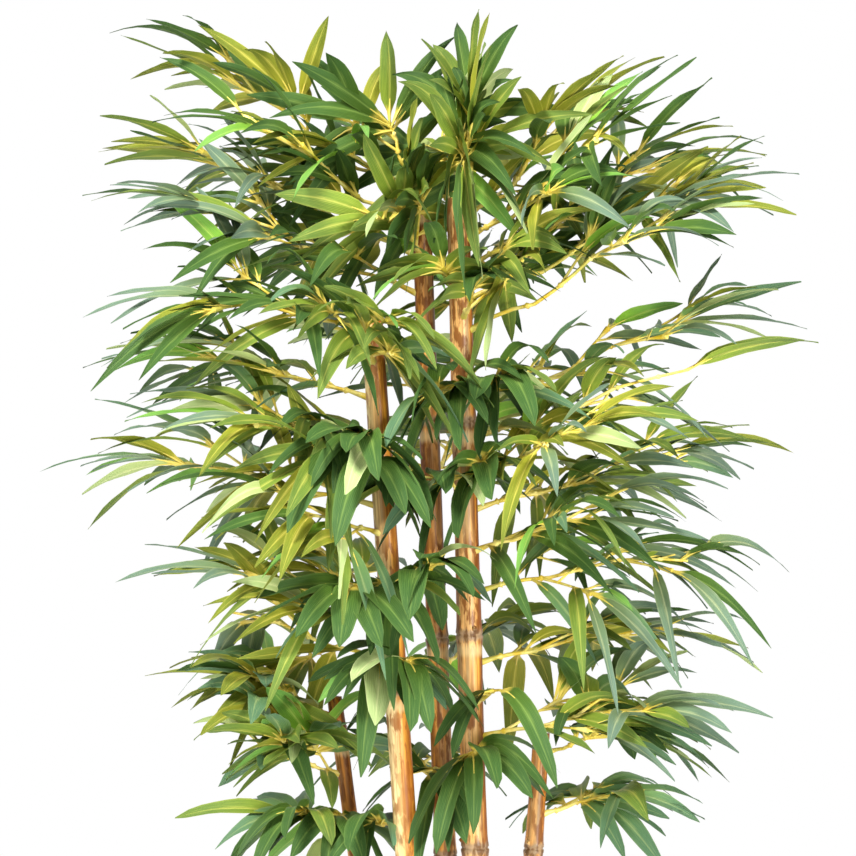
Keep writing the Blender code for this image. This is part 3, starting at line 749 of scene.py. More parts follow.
# %% Sprays: the list
Spray = namedtuple("Spray", "cane height compass reach rise arch turn")
SPRAYS = {
    "left": [
        Spray("cane_middle", 1.590, 174, 0.340, 0.185, 0.06, 20),
        Spray("cane_middle", 1.555, 203, 0.318, 0.140, 0.10, -25),
        Spray("cane_middle", 1.520, 160, 0.392, 0.128, 0.14, 15),
        Spray("cane_middle", 1.478, 189, 0.378, 0.104, 0.14, -15),
        Spray("cane_left", 1.436, 187, 0.313, 0.008, 0.16, -20),
        Spray("cane_left", 1.362, 167, 0.336, 0.030, 0.16, 15),
        Spray("cane_left", 1.300, 207, 0.300, 0.030, 0.14, -30),
        Spray("cane_left", 1.245, 178, 0.373, 0.040, 0.12, 10),
        Spray("cane_left", 1.215, 226, 0.268, -0.010, 0.20, -35),
        Spray("cane_left", 1.125, 189, 0.296, 0.050, 0.14, -15),
        Spray("cane_left", 1.076, 161, 0.340, 0.055, 0.12, 20),
        Spray("cane_left_short", 1.008, 180, 0.212, 0.050, 0.16, -10),
        Spray("cane_left_short", 0.944, 203, 0.212, 0.050, 0.10, 20),
        Spray("cane_left_short", 0.872, 177, 0.200, 0.020, 0.20, -20),
    ],
    "right": [
        Spray("cane_right", 1.560, 12, 0.234, 0.180, 0.10, -20),
        Spray("cane_right", 1.535, 332, 0.290, 0.182, 0.02, 35),
        Spray("cane_right", 1.505, 27, 0.388, 0.156, 0.12, -15),
        Spray("cane_right", 1.470, 3, 0.372, 0.144, 0.12, 15),
        Spray("cane_right", 1.436, 337, 0.362, 0.136, 0.12, 25),
        Spray("cane_right", 1.362, 8, 0.380, 0.126, 0.02, 15),
        Spray("cane_right", 1.318, 348, 0.392, 0.095, 0.08, -15),
        Spray("cane_right", 1.275, 318, 0.320, 0.062, 0.14, 35),
        Spray("cane_right", 1.240, 17, 0.384, 0.070, 0.10, -15),
        Spray("cane_right", 1.195, 330, 0.300, 0.010, 0.22, 30),
        Spray("cane_right", 1.150, 357, 0.390, -0.004, 0.20, 15),
        Spray("cane_right", 1.072, 22, 0.340, 0.000, 0.16, -20),
        Spray("cane_right", 0.992, 350, 0.330, 0.022, 0.12, 20),
        Spray("cane_right_short", 0.966, 333, 0.206, -0.014, 0.30, -20),
        Spray("cane_right_short", 0.898, 8, 0.192, -0.012, 0.24, 15),
    ],
    "top": [
        Spray("cane_middle", 1.608, 215, 0.120, 0.186, 0.02, 80),
        Spray("cane_right", 1.568, 135, 0.058, 0.222, 0.02, 85),
        Spray("cane_right", 1.566, 285, 0.110, 0.205, 0.04, 75),
    ],
    "front": [
        Spray("cane_middle", 1.520, 248, 0.190, 0.120, 0.10, 60),
        Spray("cane_right", 1.450, 285, 0.190, 0.060, 0.25, 30),
        Spray("cane_left", 1.400, 262, 0.180, 0.060, 0.25, -30),
        Spray("cane_right", 1.352, 268, 0.190, -0.020, 0.40, 25),
        Spray("cane_left", 1.290, 238, 0.200, -0.040, 0.45, -20),
        Spray("cane_right", 1.255, 250, 0.180, -0.050, 0.45, 20),
        Spray("cane_left", 1.160, 272, 0.130, -0.120, 0.50, 10),
        Spray("cane_left", 1.074, 248, 0.120, -0.100, 0.50, -10),
        Spray("cane_right", 1.030, 300, 0.180, -0.060, 0.45, 15),
        Spray("cane_middle", 0.950, 258, 0.130, -0.100, 0.50, 10),
        Spray("cane_left_short", 0.890, 255, 0.140, -0.050, 0.45, -10),
    ],
    "back": [
        Spray("cane_middle", 1.540, 92, 0.270, 0.130, 0.14, 20),
        Spray("cane_right", 1.440, 72, 0.310, 0.080, 0.18, -20),
        Spray("cane_middle", 1.360, 112, 0.300, 0.070, 0.18, 20),
        Spray("cane_middle", 1.270, 80, 0.310, 0.050, 0.18, -20),
        Spray("cane_left", 1.140, 118, 0.300, 0.030, 0.18, 20),
        Spray("cane_middle", 1.060, 70, 0.290, 0.020, 0.20, -20),
        Spray("cane_middle", 0.930, 105, 0.270, 0.000, 0.20, 20),
    ],
    "low": [
        Spray("cane_left", 0.800, 205, 0.240, -0.010, 0.22, 15),
        Spray("cane_right", 0.790, 330, 0.240, -0.020, 0.24, -15),
        Spray("cane_right_short", 0.760, 50, 0.200, -0.020, 0.24, 15),
    ],
}
print("sprays:", sum(len(group) for group in SPRAYS.values()))

# %% [markdown]
# ## How a spray grows
#
# The stem follows an arch from its hole to its furthest tip. Side twigs leave it left and right at
# even steps. Every twig ends in a fan of leaves and has single ones back along it. On a steeply
# arched spray the leaves hang, and on a less steep one they droop. A seeded draw varies each angle
# and size, so no two sprays are alike and every run gives the same plant. Placing each leaf by hand
# would take days, and scattering leaves at random would lose the tiers that make it bamboo.

# %% Sprays: the rule's sizes
SEED = 7

# The stem takes at least this share of the way to the tip, and leaves its cane more nearly square
# than the arch does, most of all at one of its steps
STEM_RADIUS = 0.0026
STEM_STEPS = 9
STEM_LEAST_SHARE = 0.30
STEM_SQUARE = 0.35
SQUARE_STEP = 3

# The side twigs: the first and the last stand off the stem's ends by a share of the step
TWIG_RADIUS = 0.0019
TWIG_LENGTH = 0.055
FIRST_TWIG = 0.6
LAST_TWIG_SHORT = 0.3
TWIG_LIFT = 0.12
TWIG_DROOP = 0.06
TWIG_SHARES = (0, 0.35, 0.7, 1)

# The leaves: the step between single ones, the step between the pairs of an end fan, the bare part
# at a twig's foot, and how much of a leaf's sag is made good by a rise before it
LEAF_LENGTH = 0.150
LEAF_WIDTH = 0.0235
LEAF_SPACING = 0.025
LEAF_STEP = 0.004
BARE_STEM = 0.014
LEAF_SAG = 0.26
LEAF_RISE = 0.60

# Near the canes the fans are wider and fuller, and the twigs and the sag are larger
INNER_FAN = 1.1
OUTER_LEAVES = 0.65
INNER_LEAVES = 1.70
INNER_TWIG = 0.35
INNER_SAG = 0.4

# What the seeded draws may change: factors on sizes, and angles in radians
SIZE_RANGE = (0.72, 1.04)
SPACING_RANGE = (0.85, 1.15)
TWIG_RANGE = (0.80, 1.20)
FAN_RANGE = (0.90, 2.00)
SAG_RANGE = (0.50, 1.60)
WIDTH_RANGE = (0.75, 1.20)
FAN_SWAY = 0.12
LEAF_PITCH = 0.22
INNER_PITCH = 2.2
LEAF_ROLL = 0.50
LEAF_TWIST = 0.70
TWIG_SWAY = 0.32

# A spray arched as steeply as this hangs or droops, and its leaves sag more by a factor
HANGING_ARCH = 0.40
HANGING_SAG = 2.2
DROOPING_ARCH = 0.20
DROOPING_SAG = 1.5

# A few leaves anywhere have gone limp: their share, and the factor on their sag
LIMP_SHARE = 0.06
LIMP_SAG = 2.2
MOST_SAG = 0.90

# How the sprays differ: factors on leaf length and width, how blunt a leaf is (less is blunter),
# the leaves in an end fan, the angle between their pairs, the angle of the side twigs and the
# step between them. Angles are in degrees
Habit = namedtuple("Habit", "length width blunt end_leaves fan twig spacing")
HABITS = {
    "upper": Habit(1.02, 0.84, 0.50, 4, 18, 36, 0.052),
    "middle": Habit(1.00, 0.84, 0.50, 4, 18, 36, 0.050),
    "lower": Habit(0.96, 0.94, 0.46, 4, 19, 38, 0.042),
    "short": Habit(0.84, 1.06, 0.38, 7, 24, 42, 0.024),
    "top": Habit(1.06, 0.88, 0.48, 7, 25, 44, 0.026),
    "high_front": Habit(0.86, 0.94, 0.42, 8, 24, 40, 0.022),
    "hanging": Habit(0.74, 1.18, 0.26, 7, 27, 42, 0.024),
    "back": Habit(0.95, 0.96, 0.50, 5, 19, 36, 0.046),
}
# Which spray has which habit: heights, and the reach under which a side spray is a short one
UPPER_FROM = 1.40
HANGING_BELOW = 1.36
LOWER_TO = 1.10
SHORT_REACH = 0.22

Leaf = namedtuple("Leaf", "root along normal length width blunt sag twist curl")
Twig = namedtuple("Twig", "points radius joints")


# %% Sprays: lines and directions
def heading(compass):
    """The level direction of a compass angle in degrees."""
    return Vector((math.cos(math.radians(compass)), math.sin(math.radians(compass)), 0))


def arch_line(spray, root):
    """The line of a spray: a quadratic arch from its root to its furthest tip."""
    tip = cane_point(CANES[spray.cane], spray.height) + heading(spray.compass) * spray.reach
    tip += UP * spray.rise
    span = (tip - root).length
    crest = root.lerp(tip, 0.5) + UP * spray.arch * span

    def point(share):
        return root.lerp(crest, share).lerp(crest.lerp(tip, share), share)

    return point, span


def fan_frame(tangent, turn):
    """The sideways and upward directions of a leaf fan on a twig, turned about the twig."""
    side = Matrix.Rotation(turn, 3, tangent) @ tangent.cross(UP).normalized()
    return side, side.cross(tangent)


def spot_on(points, distance):
    """The point and direction that a distance along a twig comes to."""
    for start, end in zip(points, points[1:]):
        run = end - start
        if distance <= run.length or end is points[-1]:
            return start + run.normalized() * distance, run.normalized()
        distance -= run.length


def line_length(points):
    """The length of a line through its points."""
    return sum((end - start).length for start, end in zip(points, points[1:]))


# %% [markdown]
# ## Where there is room
#
# A leaf is left out where it would touch a cane, reach past its spray's tip or leave the box of the
# plain solids. The crown isn't closed either: open sky shows between its tiers, and those gaps make
# its look as much as the leaves do. So their places are read off the photograph, and a leaf
# whose middle would cover one is left out too, and so is a twig that would end in one.

# %% Sprays: clear of the canes and within reach
REACH_SLACK = 0.006
LEAST_REACH = 0.19


def midrib(leaf, share):
    """A point on a leaf's midrib."""
    return leaf.root + leaf.along * leaf.length * share - UP * leaf.sag * leaf.length * share ** 2


def clear_of_canes(points, gap):
    """True where every point is at least a gap away from every cane."""
    for cane in CANES.values():
        for spot in points:
            if spot.z > cane.top[2] + gap:
                continue
            away = (spot - cane_point(cane, spot.z)).xy.length
            if away < cane_radius(cane, spot.z) + NODE_SWELL + gap:
                return False
    return True


def within_reach(spray, leaf):
    """True where a leaf's tip is inside the solids' box and no further out than its spray's tip."""
    tip = midrib(leaf, 1)
    out = (tip - cane_point(CANES[spray.cane], spray.height)).dot(heading(spray.compass))
    inside = all(low - REACH_SLACK < place < high + REACH_SLACK
                 for low, place, high in zip(cad_box[0], tip, cad_box[1]))
    return inside and out < max(spray.reach, LEAST_REACH) + REACH_SLACK


# %% Sprays: the open sky in the crown
# The middle of each gap and its half size, as seen from in front
SkyGap = namedtuple("SkyGap", "x z half_width half_height")
SKY_GAPS = (
    SkyGap(0.165, 1.486, 0.090, 0.022),
    SkyGap(0.100, 1.478, 0.045, 0.028),
    SkyGap(0.260, 1.398, 0.068, 0.026),
    SkyGap(0.225, 1.385, 0.040, 0.018),
    SkyGap(0.110, 1.367, 0.018, 0.018),
    SkyGap(0.305, 1.167, 0.030, 0.034),
    SkyGap(0.055, 1.043, 0.055, 0.016),
    SkyGap(0.257, 0.996, 0.026, 0.014),
    SkyGap(0.160, 0.955, 0.038, 0.028),
    SkyGap(0.048, 1.705, 0.016, 0.020),
    SkyGap(-0.070, 1.684, 0.022, 0.026),
    SkyGap(-0.290, 1.686, 0.048, 0.013),
    SkyGap(-0.180, 1.669, 0.032, 0.018),
    SkyGap(-0.118, 1.597, 0.028, 0.013),
    SkyGap(-0.114, 1.554, 0.013, 0.015),
    SkyGap(-0.172, 1.547, 0.020, 0.012),
    SkyGap(-0.253, 1.297, 0.040, 0.016),
    SkyGap(-0.319, 1.147, 0.060, 0.026),
    SkyGap(-0.270, 1.125, 0.024, 0.018),
    SkyGap(-0.165, 1.103, 0.045, 0.020),
    SkyGap(-0.275, 0.975, 0.042, 0.025),
    SkyGap(-0.220, 0.935, 0.040, 0.018),
    SkyGap(-0.235, 0.868, 0.055, 0.020),
)
BLADE_MIDDLE = 0.55


def open_sky(place):
    """True where a place, seen from in front, lies in one of the round gaps."""
    for gap in SKY_GAPS:
        across = (place.x - gap.x) / gap.half_width
        upwards = (place.z - gap.z) / gap.half_height
        if across ** 2 + upwards ** 2 < 1:
            return True
    return False


def in_sky_gap(leaf):
    """True where the middle of a leaf's blade would cover a gap."""
    return open_sky(midrib(leaf, BLADE_MIDDLE))


# %% [markdown]
# ## Leaves, twigs and sprays
#
# A leaf is no mesh yet, only a root, two directions and a few sizes. A twig is a line of points and
# a radius. So the whole plant can be grown and thinned first, and its meshes are made at the end.

# %% Sprays: leaves and twigs
def habit_of(group, spray):
    """The habit of a spray, by its group, its height and whether it is short."""
    if group == "front":
        return HABITS["high_front" if spray.height > HANGING_BELOW else "hanging"]
    if group in ("top", "back"):
        return HABITS[group]
    if spray.reach < SHORT_REACH:
        return HABITS["short"]
    if spray.height > UPPER_FROM:
        return HABITS["upper"]
    return HABITS["lower" if spray.height < LOWER_TO else "middle"]


def sagged(leaf, factor):
    """The leaf with more sag, its tip as far from its root as before."""
    sag = min(leaf.sag * factor, MOST_SAG)
    growth = (leaf.along - UP * sag).length / (leaf.along - UP * leaf.sag).length
    return leaf._replace(sag=sag, length=leaf.length / growth)


def new_leaf(root, tangent, turn, fan, inner, habit, rng):
    """A leaf that opens from its twig by a fan angle, with its own pitch, roll, sag and twist."""
    side, lift = fan_frame(tangent, turn)
    pitch = rng.uniform(-LEAF_PITCH, LEAF_PITCH) * (1 + INNER_PITCH * inner)
    level = tangent * math.cos(fan) + side * math.sin(fan)
    sag = LEAF_SAG * rng.uniform(*SAG_RANGE)
    along = level * math.cos(pitch) + lift * math.sin(pitch) + UP * sag * LEAF_RISE
    along.normalize()
    normal = (lift - along * lift.dot(along)).normalized()
    normal = Matrix.Rotation(rng.uniform(-LEAF_ROLL, LEAF_ROLL), 3, along) @ normal
    length = LEAF_LENGTH * habit.length * rng.uniform(*SIZE_RANGE)
    width = LEAF_WIDTH * habit.width * rng.uniform(*WIDTH_RANGE)
    limp = LIMP_SAG if rng.random() < LIMP_SHARE else 1
    twist = rng.uniform(-LEAF_TWIST, LEAF_TWIST)
    leaf = Leaf(root, along, normal, length, width, habit.blunt, sag, twist, rng.uniform(-1, 1))
    return sagged(leaf, limp)


def twig_leaves(points, turn, inner, habit, end_leaves, rng):
    """A fan of leaves at the end of a twig, then single ones on alternate sides back along it.

    inner says how near the cane the twig's root and its end are, from 0 far out to 1 at the cane.
    """
    length = line_length(points)
    leaves = []
    for i in range(end_leaves):
        pair = (i + 1) // 2
        root, tangent = spot_on(points, length - LEAF_STEP * pair)
        fan = (math.radians(habit.fan) * pair + rng.uniform(-FAN_SWAY, FAN_SWAY)) * (-1 if i % 2 else 1)
        leaves.append(new_leaf(root, tangent, turn, fan, inner[1], habit, rng))
    distance = length - LEAF_SPACING
    side = 1
    while distance > BARE_STEM:
        root, tangent = spot_on(points, distance)
        opening = 1 + INNER_FAN * (1 - distance / length)
        fan = math.radians(habit.fan) * rng.uniform(*FAN_RANGE) * opening * side
        nearness = inner[0] + (inner[1] - inner[0]) * distance / length
        leaves.append(new_leaf(root, tangent, turn, fan, nearness, habit, rng))
        distance -= LEAF_SPACING * rng.uniform(*SPACING_RANGE)
        side = -side
    return leaves


def side_twig(start, tangent, turn, angle, size, rng):
    """A short twig that leaves the stem to one side, rises a little and bends down at its end."""
    side, lift = fan_frame(tangent, turn)
    angle = math.radians(angle) * rng.uniform(*TWIG_RANGE)
    way = tangent * math.cos(angle) + side * math.sin(angle) + lift * TWIG_LIFT
    run = way * TWIG_LENGTH * size * rng.uniform(*TWIG_RANGE)
    return [start + run * s - UP * run.length * TWIG_DROOP * s * s for s in TWIG_SHARES]


# %% Sprays: growing one
def stem_line(spray, root, point, span):
    """The stem's points, as far as its end fan."""
    share = max(1 - LEAF_LENGTH / span, STEM_LEAST_SHARE)
    stem = [point(share * i / STEM_STEPS) for i in range(STEM_STEPS + 1)]
    for i in range(1, 2 * SQUARE_STEP):
        square = root + heading(spray.compass) * (stem[i] - root).length
        stem[i] = stem[i].lerp(square, STEM_SQUARE * (1 - abs(i - SQUARE_STEP) / SQUARE_STEP))
    return stem


def reaching(leaf, tip, turn):
    """The leaf aimed and sized so that its tip comes to a place, sag and all."""
    reach = tip - leaf.root
    start = reach + UP * leaf.sag * reach.length
    along = start.normalized()
    sag = leaf.sag * reach.length / start.length
    normal = fan_frame(along, turn)[1]
    return leaf._replace(along=along, normal=normal, length=start.length, sag=sag)


def grow(spray, root, habit, rng):
    """Grows one spray: its twigs, the stem first, and its leaves."""
    point, span = arch_line(spray, root)
    stem = stem_line(spray, root, point, span)
    turn = math.radians(spray.turn)
    leaves = twig_leaves(stem, turn, (1, 0), habit, habit.end_leaves, rng)
    leaves[0] = reaching(leaves[0], point(1), turn)
    length = line_length(stem)
    count = max(1, round(length / habit.spacing))
    spots = [length * (i + FIRST_TWIG) / (count + LAST_TWIG_SHORT) for i in range(count)]
    twigs = [Twig(stem, STEM_RADIUS, spots)]
    for i, spot in enumerate(spots):
        start, tangent = spot_on(stem, spot)
        inner = 1 - spot / length
        sway = turn + rng.uniform(-TWIG_SWAY, TWIG_SWAY)
        size = 1 + INNER_TWIG * inner
        points = side_twig(start, tangent, sway, habit.twig if i % 2 else -habit.twig, size, rng)
        if not clear_of_canes(points[1:], TWIG_RADIUS):
            continue
        share = OUTER_LEAVES + (INNER_LEAVES - OUTER_LEAVES) * inner
        count = round(habit.end_leaves * share)
        fan = twig_leaves(points, sway, (inner, inner), habit, count, rng)
        if open_sky(points[-1]):
            continue
        twigs.append(Twig(points, TWIG_RADIUS, []))
        leaves += [sagged(leaf, 1 + INNER_SAG * inner) for leaf in fan]
    if spray.arch >= HANGING_ARCH:
        leaves = [sagged(leaf, HANGING_SAG) for leaf in leaves]
    elif spray.arch >= DROOPING_ARCH:
        leaves[1:] = [sagged(leaf, DROOPING_SAG) for leaf in leaves[1:]]
    return twigs, leaves


# %% Sprays: growing them all
SEAT_DEPTH = 0.002
CANE_CLEARANCE = 0.003
# The places along a leaf that have to be clear of the canes
LEAF_SHARES = (0.2, 0.5, 0.8, 1.0)
Grown = namedtuple("Grown", "node group spray twigs leaves")


def has_room(spray, leaf):
    """True where a leaf may stay."""
    if not within_reach(spray, leaf) or in_sky_gap(leaf):
        return False
    return clear_of_canes([midrib(leaf, share) for share in LEAF_SHARES], CANE_CLEARANCE)


grown = []
for group, sprays in SPRAYS.items():
    for number, spray in enumerate(sprays, 1):
        cane = CANES[spray.cane]
        seat = cane_radius(cane, spray.height) - SEAT_DEPTH
        root = cane_point(cane, spray.height) + heading(spray.compass) * seat
        twigs, leaves = grow(spray, root, habit_of(group, spray), random.Random(SEED + len(grown)))
        kept = [leaf for leaf in leaves if has_room(spray, leaf)]
        grown.append(Grown(f"foliage_{group}_{number:02d}", group, spray, twigs, kept))
print("leaves:", sum(len(g.leaves) for g in grown), "twigs:", sum(len(g.twigs) for g in grown))

# %% [markdown]
# ## The twigs
#
# The twigs are moulded in yellow plastic: six-sided rods with a knuckle wherever something branches
# off, and a flared foot in the cane. A curve with a round bevel makes such a rod from a line of
# points and a radius at each. All of them are splines of one curve, which then becomes a mesh.

# %% The twigs
# Factors on the radius: at a knuckle, at the stem's foot and at the end that carries the fan
KNUCKLE = 1.8
FLARE = 1.6
HUB = 1.9
TAPER = 0.42
KNUCKLE_REACH = 0.003
FLARE_LENGTH = 0.012
# A stalk starts inside its twig, is thicker there and thins out under the blade
STALK_LENGTH = 0.015
STALK_RADIUS = 0.0012
STALK_DEPTH = 0.001
STALK_FOOT = 1.4
STALK_END = 0.4
STALK_YELLOW = (0.80, 0.64, 0.11)


def rod(twig):
    """The points and radii of one twig, with a knuckle at each branching."""
    length = line_length(twig.points)
    rows = [(line_length(twig.points[:i + 1]), place, 1.0) for i, place in enumerate(twig.points)]
    for joint in twig.joints:
        for offset, growth in ((-KNUCKLE_REACH, 1.0), (0, KNUCKLE), (KNUCKLE_REACH, 1.0)):
            spot = min(max(joint + offset, 0), length)
            rows.append((spot, spot_on(twig.points, spot)[0], growth))
    rows.sort(key=lambda row: row[0])
    lines = []
    for distance, place, growth in rows:
        radius = twig.radius * (1 - TAPER * distance / length) * growth
        if not twig.joints and place is twig.points[-1]:
            radius = twig.radius * HUB
        if twig.joints and distance < FLARE_LENGTH:
            radius = twig.radius * (FLARE + (1 - FLARE) * distance / FLARE_LENGTH)
        lines.append((place, radius))
    return lines


def stalk(leaf):
    """The short stalk that carries a leaf's blade."""
    return [(leaf.root - leaf.along * STALK_DEPTH, STALK_RADIUS * STALK_FOOT),
            (midrib(leaf, STALK_LENGTH / leaf.length), STALK_RADIUS),
            (midrib(leaf, 2 * STALK_LENGTH / leaf.length), STALK_RADIUS * STALK_END)]


def rods_mesh(name, lines):
    """One mesh of round rods from lists of points and radii."""
    curve = bpy.data.curves.new(name, "CURVE")
    curve.dimensions = "3D"
    curve.bevel_depth = 1.0
    curve.bevel_resolution = 1
    curve.use_fill_caps = True
    for line in lines:
        spline = curve.splines.new("POLY")
        spline.points.add(len(line) - 1)
        for point, (place, radius) in zip(spline.points, line):
            point.co = (*place, 1)
            point.radius = radius
    holder = bpy.data.objects.new(name, curve)
    bpy.context.scene.collection.objects.link(holder)
    depsgraph = bpy.context.evaluated_depsgraph_get()
    mesh = bpy.data.meshes.new_from_object(holder.evaluated_get(depsgraph))
    bpy.data.objects.remove(holder)
    mesh.name = name
    mesh.shade_smooth()
    return mesh


twig_finish = Finish("moulded_twig", 0.42)
place = twig_finish.place()
paint = twig_finish.noise(place, 60, 2)
tinge = twig_finish.noise(place, 22, 2)
yellow = twig_finish.mix(paint.ramp(0.35, 0.65), (0.72, 0.50, 0.030), (0.90, 0.76, 0.22))
twig_finish.colour(twig_finish.mix(tinge.ramp(0.48, 0.66) * 0.7, yellow, (0.36, 0.34, 0.035)))
twigs_mesh = rods_mesh("twigs", [rod(twig) for g in grown for twig in g.twigs])
twigs_piece = add_piece("twigs", twigs_mesh, twig_finish.material)
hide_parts(*[g.node for g in grown])
stalk_finish = Finish("leaf_stalk", 0.45)
stalk_finish.colour(STALK_YELLOW)
stalks_mesh = rods_mesh("leaf_stalks", [stalk(leaf) for g in grown for leaf in g.leaves])
stalks_piece = add_piece("leaf_stalks", stalks_mesh, stalk_finish.material)
print("twig faces:", len(twigs_mesh.polygons), "stalk faces:", len(stalks_mesh.polygons))

# %% [markdown]
# ## The leaf
#
# A leaf is a strip of printed fabric: blunt at its stalk, widest at a third and drawn out to a
# point, folded along its midrib. It starts as a grid from one operator. Its own map of places,
# which every leaf shares, carries the printed midrib and veins.
#
# About 1,500 of them are wanted, each bent its own way. One object for each would be slow, and true
# copies could not bend. So the grid's points are laid out for all leaves at once with arrays.

# %% The leaf
LEAF_COLUMNS = 4
LEAF_ROWS = 10
LEAF_MAP = "OFBake"
WIDEST = 0.36
LEAF_FOLD = 0.30
EDGE_WAVE = 0.0011
BASE_WIDTH = 0.10
TIP_WIDTH = 0.04
BLADE_START = 0.09
# A leaf curls to one side and hooks at its tip, by these shares of its length
SIDE_BEND = 0.045
HOOK = 0.07
# The waves along a leaf's edges: how many radians of them, how far each leaf's are shifted, and how
# far those of one edge are ahead of the other's
WAVES = 13
WAVE_START = 5
WAVE_SLANT = 1.5


def leaf_grid():
    """The flat grid of one leaf: its places across and along, its faces, and its map."""
    bm = bmesh.new()
    layer = bm.loops.layers.uv.new(LEAF_MAP)
    bmesh.ops.create_grid(bm, x_segments=LEAF_COLUMNS, y_segments=LEAF_ROWS, size=1, calc_uvs=True)
    across = np.array([vert.co.x for vert in bm.verts])
    along = np.array([(vert.co.y + 1) / 2 for vert in bm.verts])
    faces = [[vert.index for vert in face.verts] for face in bm.faces]
    places = np.array([loop[layer].uv for face in bm.faces for loop in face.loops])
    bm.free()
    return across, along, faces, places


ACROSS, ALONG, LEAF_FACES, LEAF_PLACES = leaf_grid()


def blade_width(share, blunt):
    """How wide the blade is along its length, as a share of its widest."""
    power = blunt * (1 - WIDEST) / WIDEST
    share = np.maximum(share - BLADE_START, 0) / (1 - BLADE_START)
    blade = (share / WIDEST) ** blunt * ((1 - share) / (1 - WIDEST)) ** power
    least = BASE_WIDTH + (TIP_WIDTH - BASE_WIDTH) * share
    return np.maximum(blade, least)


def column(leaves, read):
    """One value of every leaf, as an array that spreads over the leaf's points."""
    values = np.array([read(leaf) for leaf in leaves], float)
    return values[:, None, :] if values.ndim == 2 else values[:, None, None]


def leaves_mesh(name, leaves):
    """One mesh of many bent leaves."""
    t = ALONG[None, :, None]
    u = ACROSS[None, :, None]
    way = column(leaves, lambda leaf: leaf.along)
    normal = column(leaves, lambda leaf: leaf.normal)
    side = np.cross(way, normal)
    length = column(leaves, lambda leaf: leaf.length)
    shape = blade_width(t, column(leaves, lambda leaf: leaf.blunt))
    half = column(leaves, lambda leaf: leaf.width / 2) * shape * u
    turn = column(leaves, lambda leaf: leaf.twist) * t
    curl = column(leaves, lambda leaf: leaf.curl)
    waves = np.sin(WAVES * t + WAVE_START * curl + WAVE_SLANT * u)
    fold = LEAF_FOLD * np.abs(half) + EDGE_WAVE * u ** 2 * waves
    rib = column(leaves, lambda leaf: leaf.root) + way * length * t
    rib = rib - np.array(UP) * column(leaves, lambda leaf: leaf.sag) * length * t ** 2
    rib = rib + (side * SIDE_BEND * t ** 2 + normal * HOOK * t ** 3) * curl * length
    points = rib + (side * np.cos(turn) + normal * np.sin(turn)) * half
    points = points + (normal * np.cos(turn) - side * np.sin(turn)) * fold
    faces = [[i + n * len(ACROSS) for i in face] for n in range(len(leaves)) for face in LEAF_FACES]
    mesh = bpy.data.meshes.new(name)
    mesh.from_pydata(points.reshape(-1, 3).tolist(), [], faces)
    layer = mesh.uv_layers.new(name=LEAF_MAP)
    layer.uv.foreach_set("vector", np.tile(LEAF_PLACES, (len(leaves), 1)).astype(np.float32).ravel())
    mesh.shade_smooth()
    return mesh


# %% [markdown]
# ## Printed leaf fabric
#
# The fabric is printed: fresh green near the stalk that cools towards the tip, a pale midrib and
# fine veins beside it. Pale streaks along the blade are a painted sheen. The pattern reads the
# leaf's own map, where 0 to 1 runs across and along the blade. The plant mixes leaves of a few
# shades, so the recipe is used once for each shade.

# %% Printed leaf fabric
VEINS = 46
Shade = namedtuple("Shade", "stalk_end tip rib")
SHADES = {
    "olive": Shade((0.320, 0.318, 0.020), (0.104, 0.152, 0.016), (0.74, 0.63, 0.12)),
    "mid": Shade((0.190, 0.275, 0.022), (0.075, 0.146, 0.026), (0.56, 0.54, 0.11)),
    "deep": Shade((0.068, 0.136, 0.014), (0.030, 0.079, 0.019), (0.21, 0.31, 0.07)),
    "cool": Shade((0.130, 0.250, 0.055), (0.070, 0.162, 0.086), (0.40, 0.48, 0.19)),
    "fresh": Shade((0.200, 0.420, 0.022), (0.115, 0.290, 0.055), (0.50, 0.64, 0.14)),
    "dusty": Shade((0.150, 0.225, 0.075), (0.086, 0.155, 0.112), (0.50, 0.54, 0.28)),
    "pale": Shade((0.420, 0.500, 0.150), (0.300, 0.400, 0.150), (0.76, 0.76, 0.38)),
}


def leaf_finish(name, shade):
    """Printed fabric of one shade."""
    fabric = Finish("leaf_" + name, 0.50, Specular_IOR_Level=0.12)
    place = fabric.node("ShaderNodeUVMap", {"uv_map": LEAF_MAP})
    parts = fabric.node("ShaderNodeSeparateXYZ", None, {0: place}, "X")
    along = Reading(fabric, parts.socket.node.outputs["Y"])
    off_rib = ((parts - 0.5) * 2).size()
    veins = (off_rib * VEINS).sine()
    # Streaks along the blade: the dark ones vary the print, the pale ones are a painted sheen
    stripes_and_sheen = fabric.noise(fabric.stretched(place, 9, 1.2, 1), 2.4, 3)
    colour = fabric.mix(along.ramp(0.05, 0.85), shade.stalk_end, shade.tip)
    colour = fabric.mix(stripes_and_sheen.ramp(0.52, 0.30) * 0.45, colour, shade.tip)
    # Painted sheen: pale streaks along the blade
    colour = fabric.mix(stripes_and_sheen.ramp(0.54, 0.72) * 0.36, colour, shade.rib)
    colour = fabric.mix((veins * 0.5 + 0.5) * 0.12, colour, shade.rib)
    rib = off_rib.ramp(0.15, 0.04) * (1 - along * 0.7)
    colour = fabric.mix(rib * 0.60, colour, shade.rib)
    colour = fabric.mix(off_rib.ramp(0.82, 1.0) * 0.25, colour, shade.rib)
    colour = fabric.mix(along.ramp(0.17, 0.08), colour, STALK_YELLOW)
    fabric.colour(colour)
    fabric.bump(veins * 0.5 + off_rib.ramp(0.2, 0.0), 0.0004, 0.6)
    return fabric.material


# %% [markdown]
# ## Dealing out the shades
#
# On the plant each spray leans to one shade. The upper ones are deep or olive, the middle ones olive
# or plain green and the lower ones cooler. The ones that hang or droop are deeper. The rest of a
# spray's leaves are of the shades that its place allows, and a few are pale or bright. Far out from
# the canes many are a dusty blue-green, the more so lower down. A seeded draw deals the shades out,
# spray by spray, and all leaves of one shade become one piece.

# %% Dealing out the shades
SHADE_SEED = 100
PALE_SHARE = 0.06
FRESH_SHARE = 0.04
MAIN_SHARE = 0.45
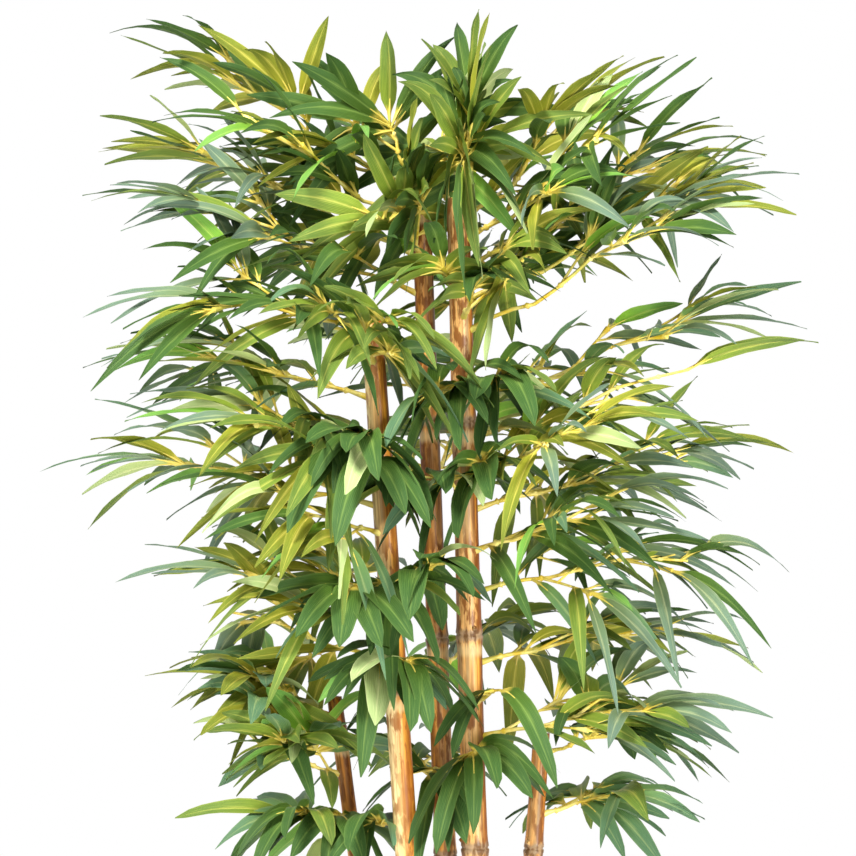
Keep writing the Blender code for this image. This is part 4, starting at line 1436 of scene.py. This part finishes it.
# Dusty leaves start this far from the cane and below this height, and are more frequent low down
DUSTY_FROM = 0.13
DUSTY_BELOW = 1.62
DUSTY_SHARE = 0.50
LOW_DUSTY_BELOW = 1.28
LOW_DUSTY_SHARE = 0.75
# The shades that a spray may have by where it grows, and how often each comes up
SHADE_CHOICES = {
    "hanging": {"deep": 8, "cool": 1, "mid": 1},
    "upper": {"olive": 3, "mid": 3, "deep": 6},
    "middle": {"olive": 5, "mid": 5, "deep": 2, "cool": 1},
    "lower": {"cool": 5, "mid": 3, "deep": 1, "olive": 2},
    "drooping": {"deep": 4, "mid": 6, "cool": 3},
}


def choices_of(group, spray):
    """The shades that a spray may have."""
    if group == "front" and spray.height < HANGING_BELOW:
        return SHADE_CHOICES["hanging"]
    if spray.height > UPPER_FROM:
        return SHADE_CHOICES["upper"]
    if spray.arch >= DROOPING_ARCH and group != "left":
        return SHADE_CHOICES["drooping"]
    return SHADE_CHOICES["lower" if spray.height < LOWER_TO else "middle"]


def drawn_shade(choices, rng):
    """One shade, drawn as often as its number says."""
    return rng.choices(list(choices), list(choices.values()))[0]


def dusty_share(spray, leaf):
    """How likely a leaf is dusty."""
    out = (leaf.root - cane_point(CANES[spray.cane], spray.height)).xy.length
    if out < DUSTY_FROM or leaf.root.z > DUSTY_BELOW:
        return 0
    return LOW_DUSTY_SHARE if leaf.root.z < LOW_DUSTY_BELOW else DUSTY_SHARE


dealt = {name: [] for name in SHADES}
for number, spray_grown in enumerate(grown):
    rng = random.Random(SHADE_SEED + number)
    choices = choices_of(spray_grown.group, spray_grown.spray)
    main = drawn_shade(choices, rng)
    for leaf in spray_grown.leaves:
        draw = rng.random()
        shade = main if draw < MAIN_SHARE else drawn_shade(choices, rng)
        if draw > 1 - PALE_SHARE:
            shade = "pale"
        elif draw > 1 - PALE_SHARE - FRESH_SHARE:
            shade = "fresh"
        elif rng.random() < dusty_share(spray_grown.spray, leaf):
            shade = "dusty"
        dealt[shade].append((spray_grown.node, leaf))
for name, rows in dealt.items():
    mesh = leaves_mesh("leaves_" + name, [leaf for _, leaf in rows])
    piece = add_piece("leaves_" + name, mesh, leaf_finish(name, SHADES[name]))
    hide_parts(*sorted({node for node, _ in rows}))
    print(piece.name, "leaves:", len(rows), "faces:", len(mesh.polygons))

# %% [markdown]
# ## Sizes
#
# The finished plant has to stay in the box of the plain solids, apart from a little slack for
# fabric. The box of the solids is printed.

# %% Sizes
print("solids", [round(x, 3) for corner in cad_box for x in corner])
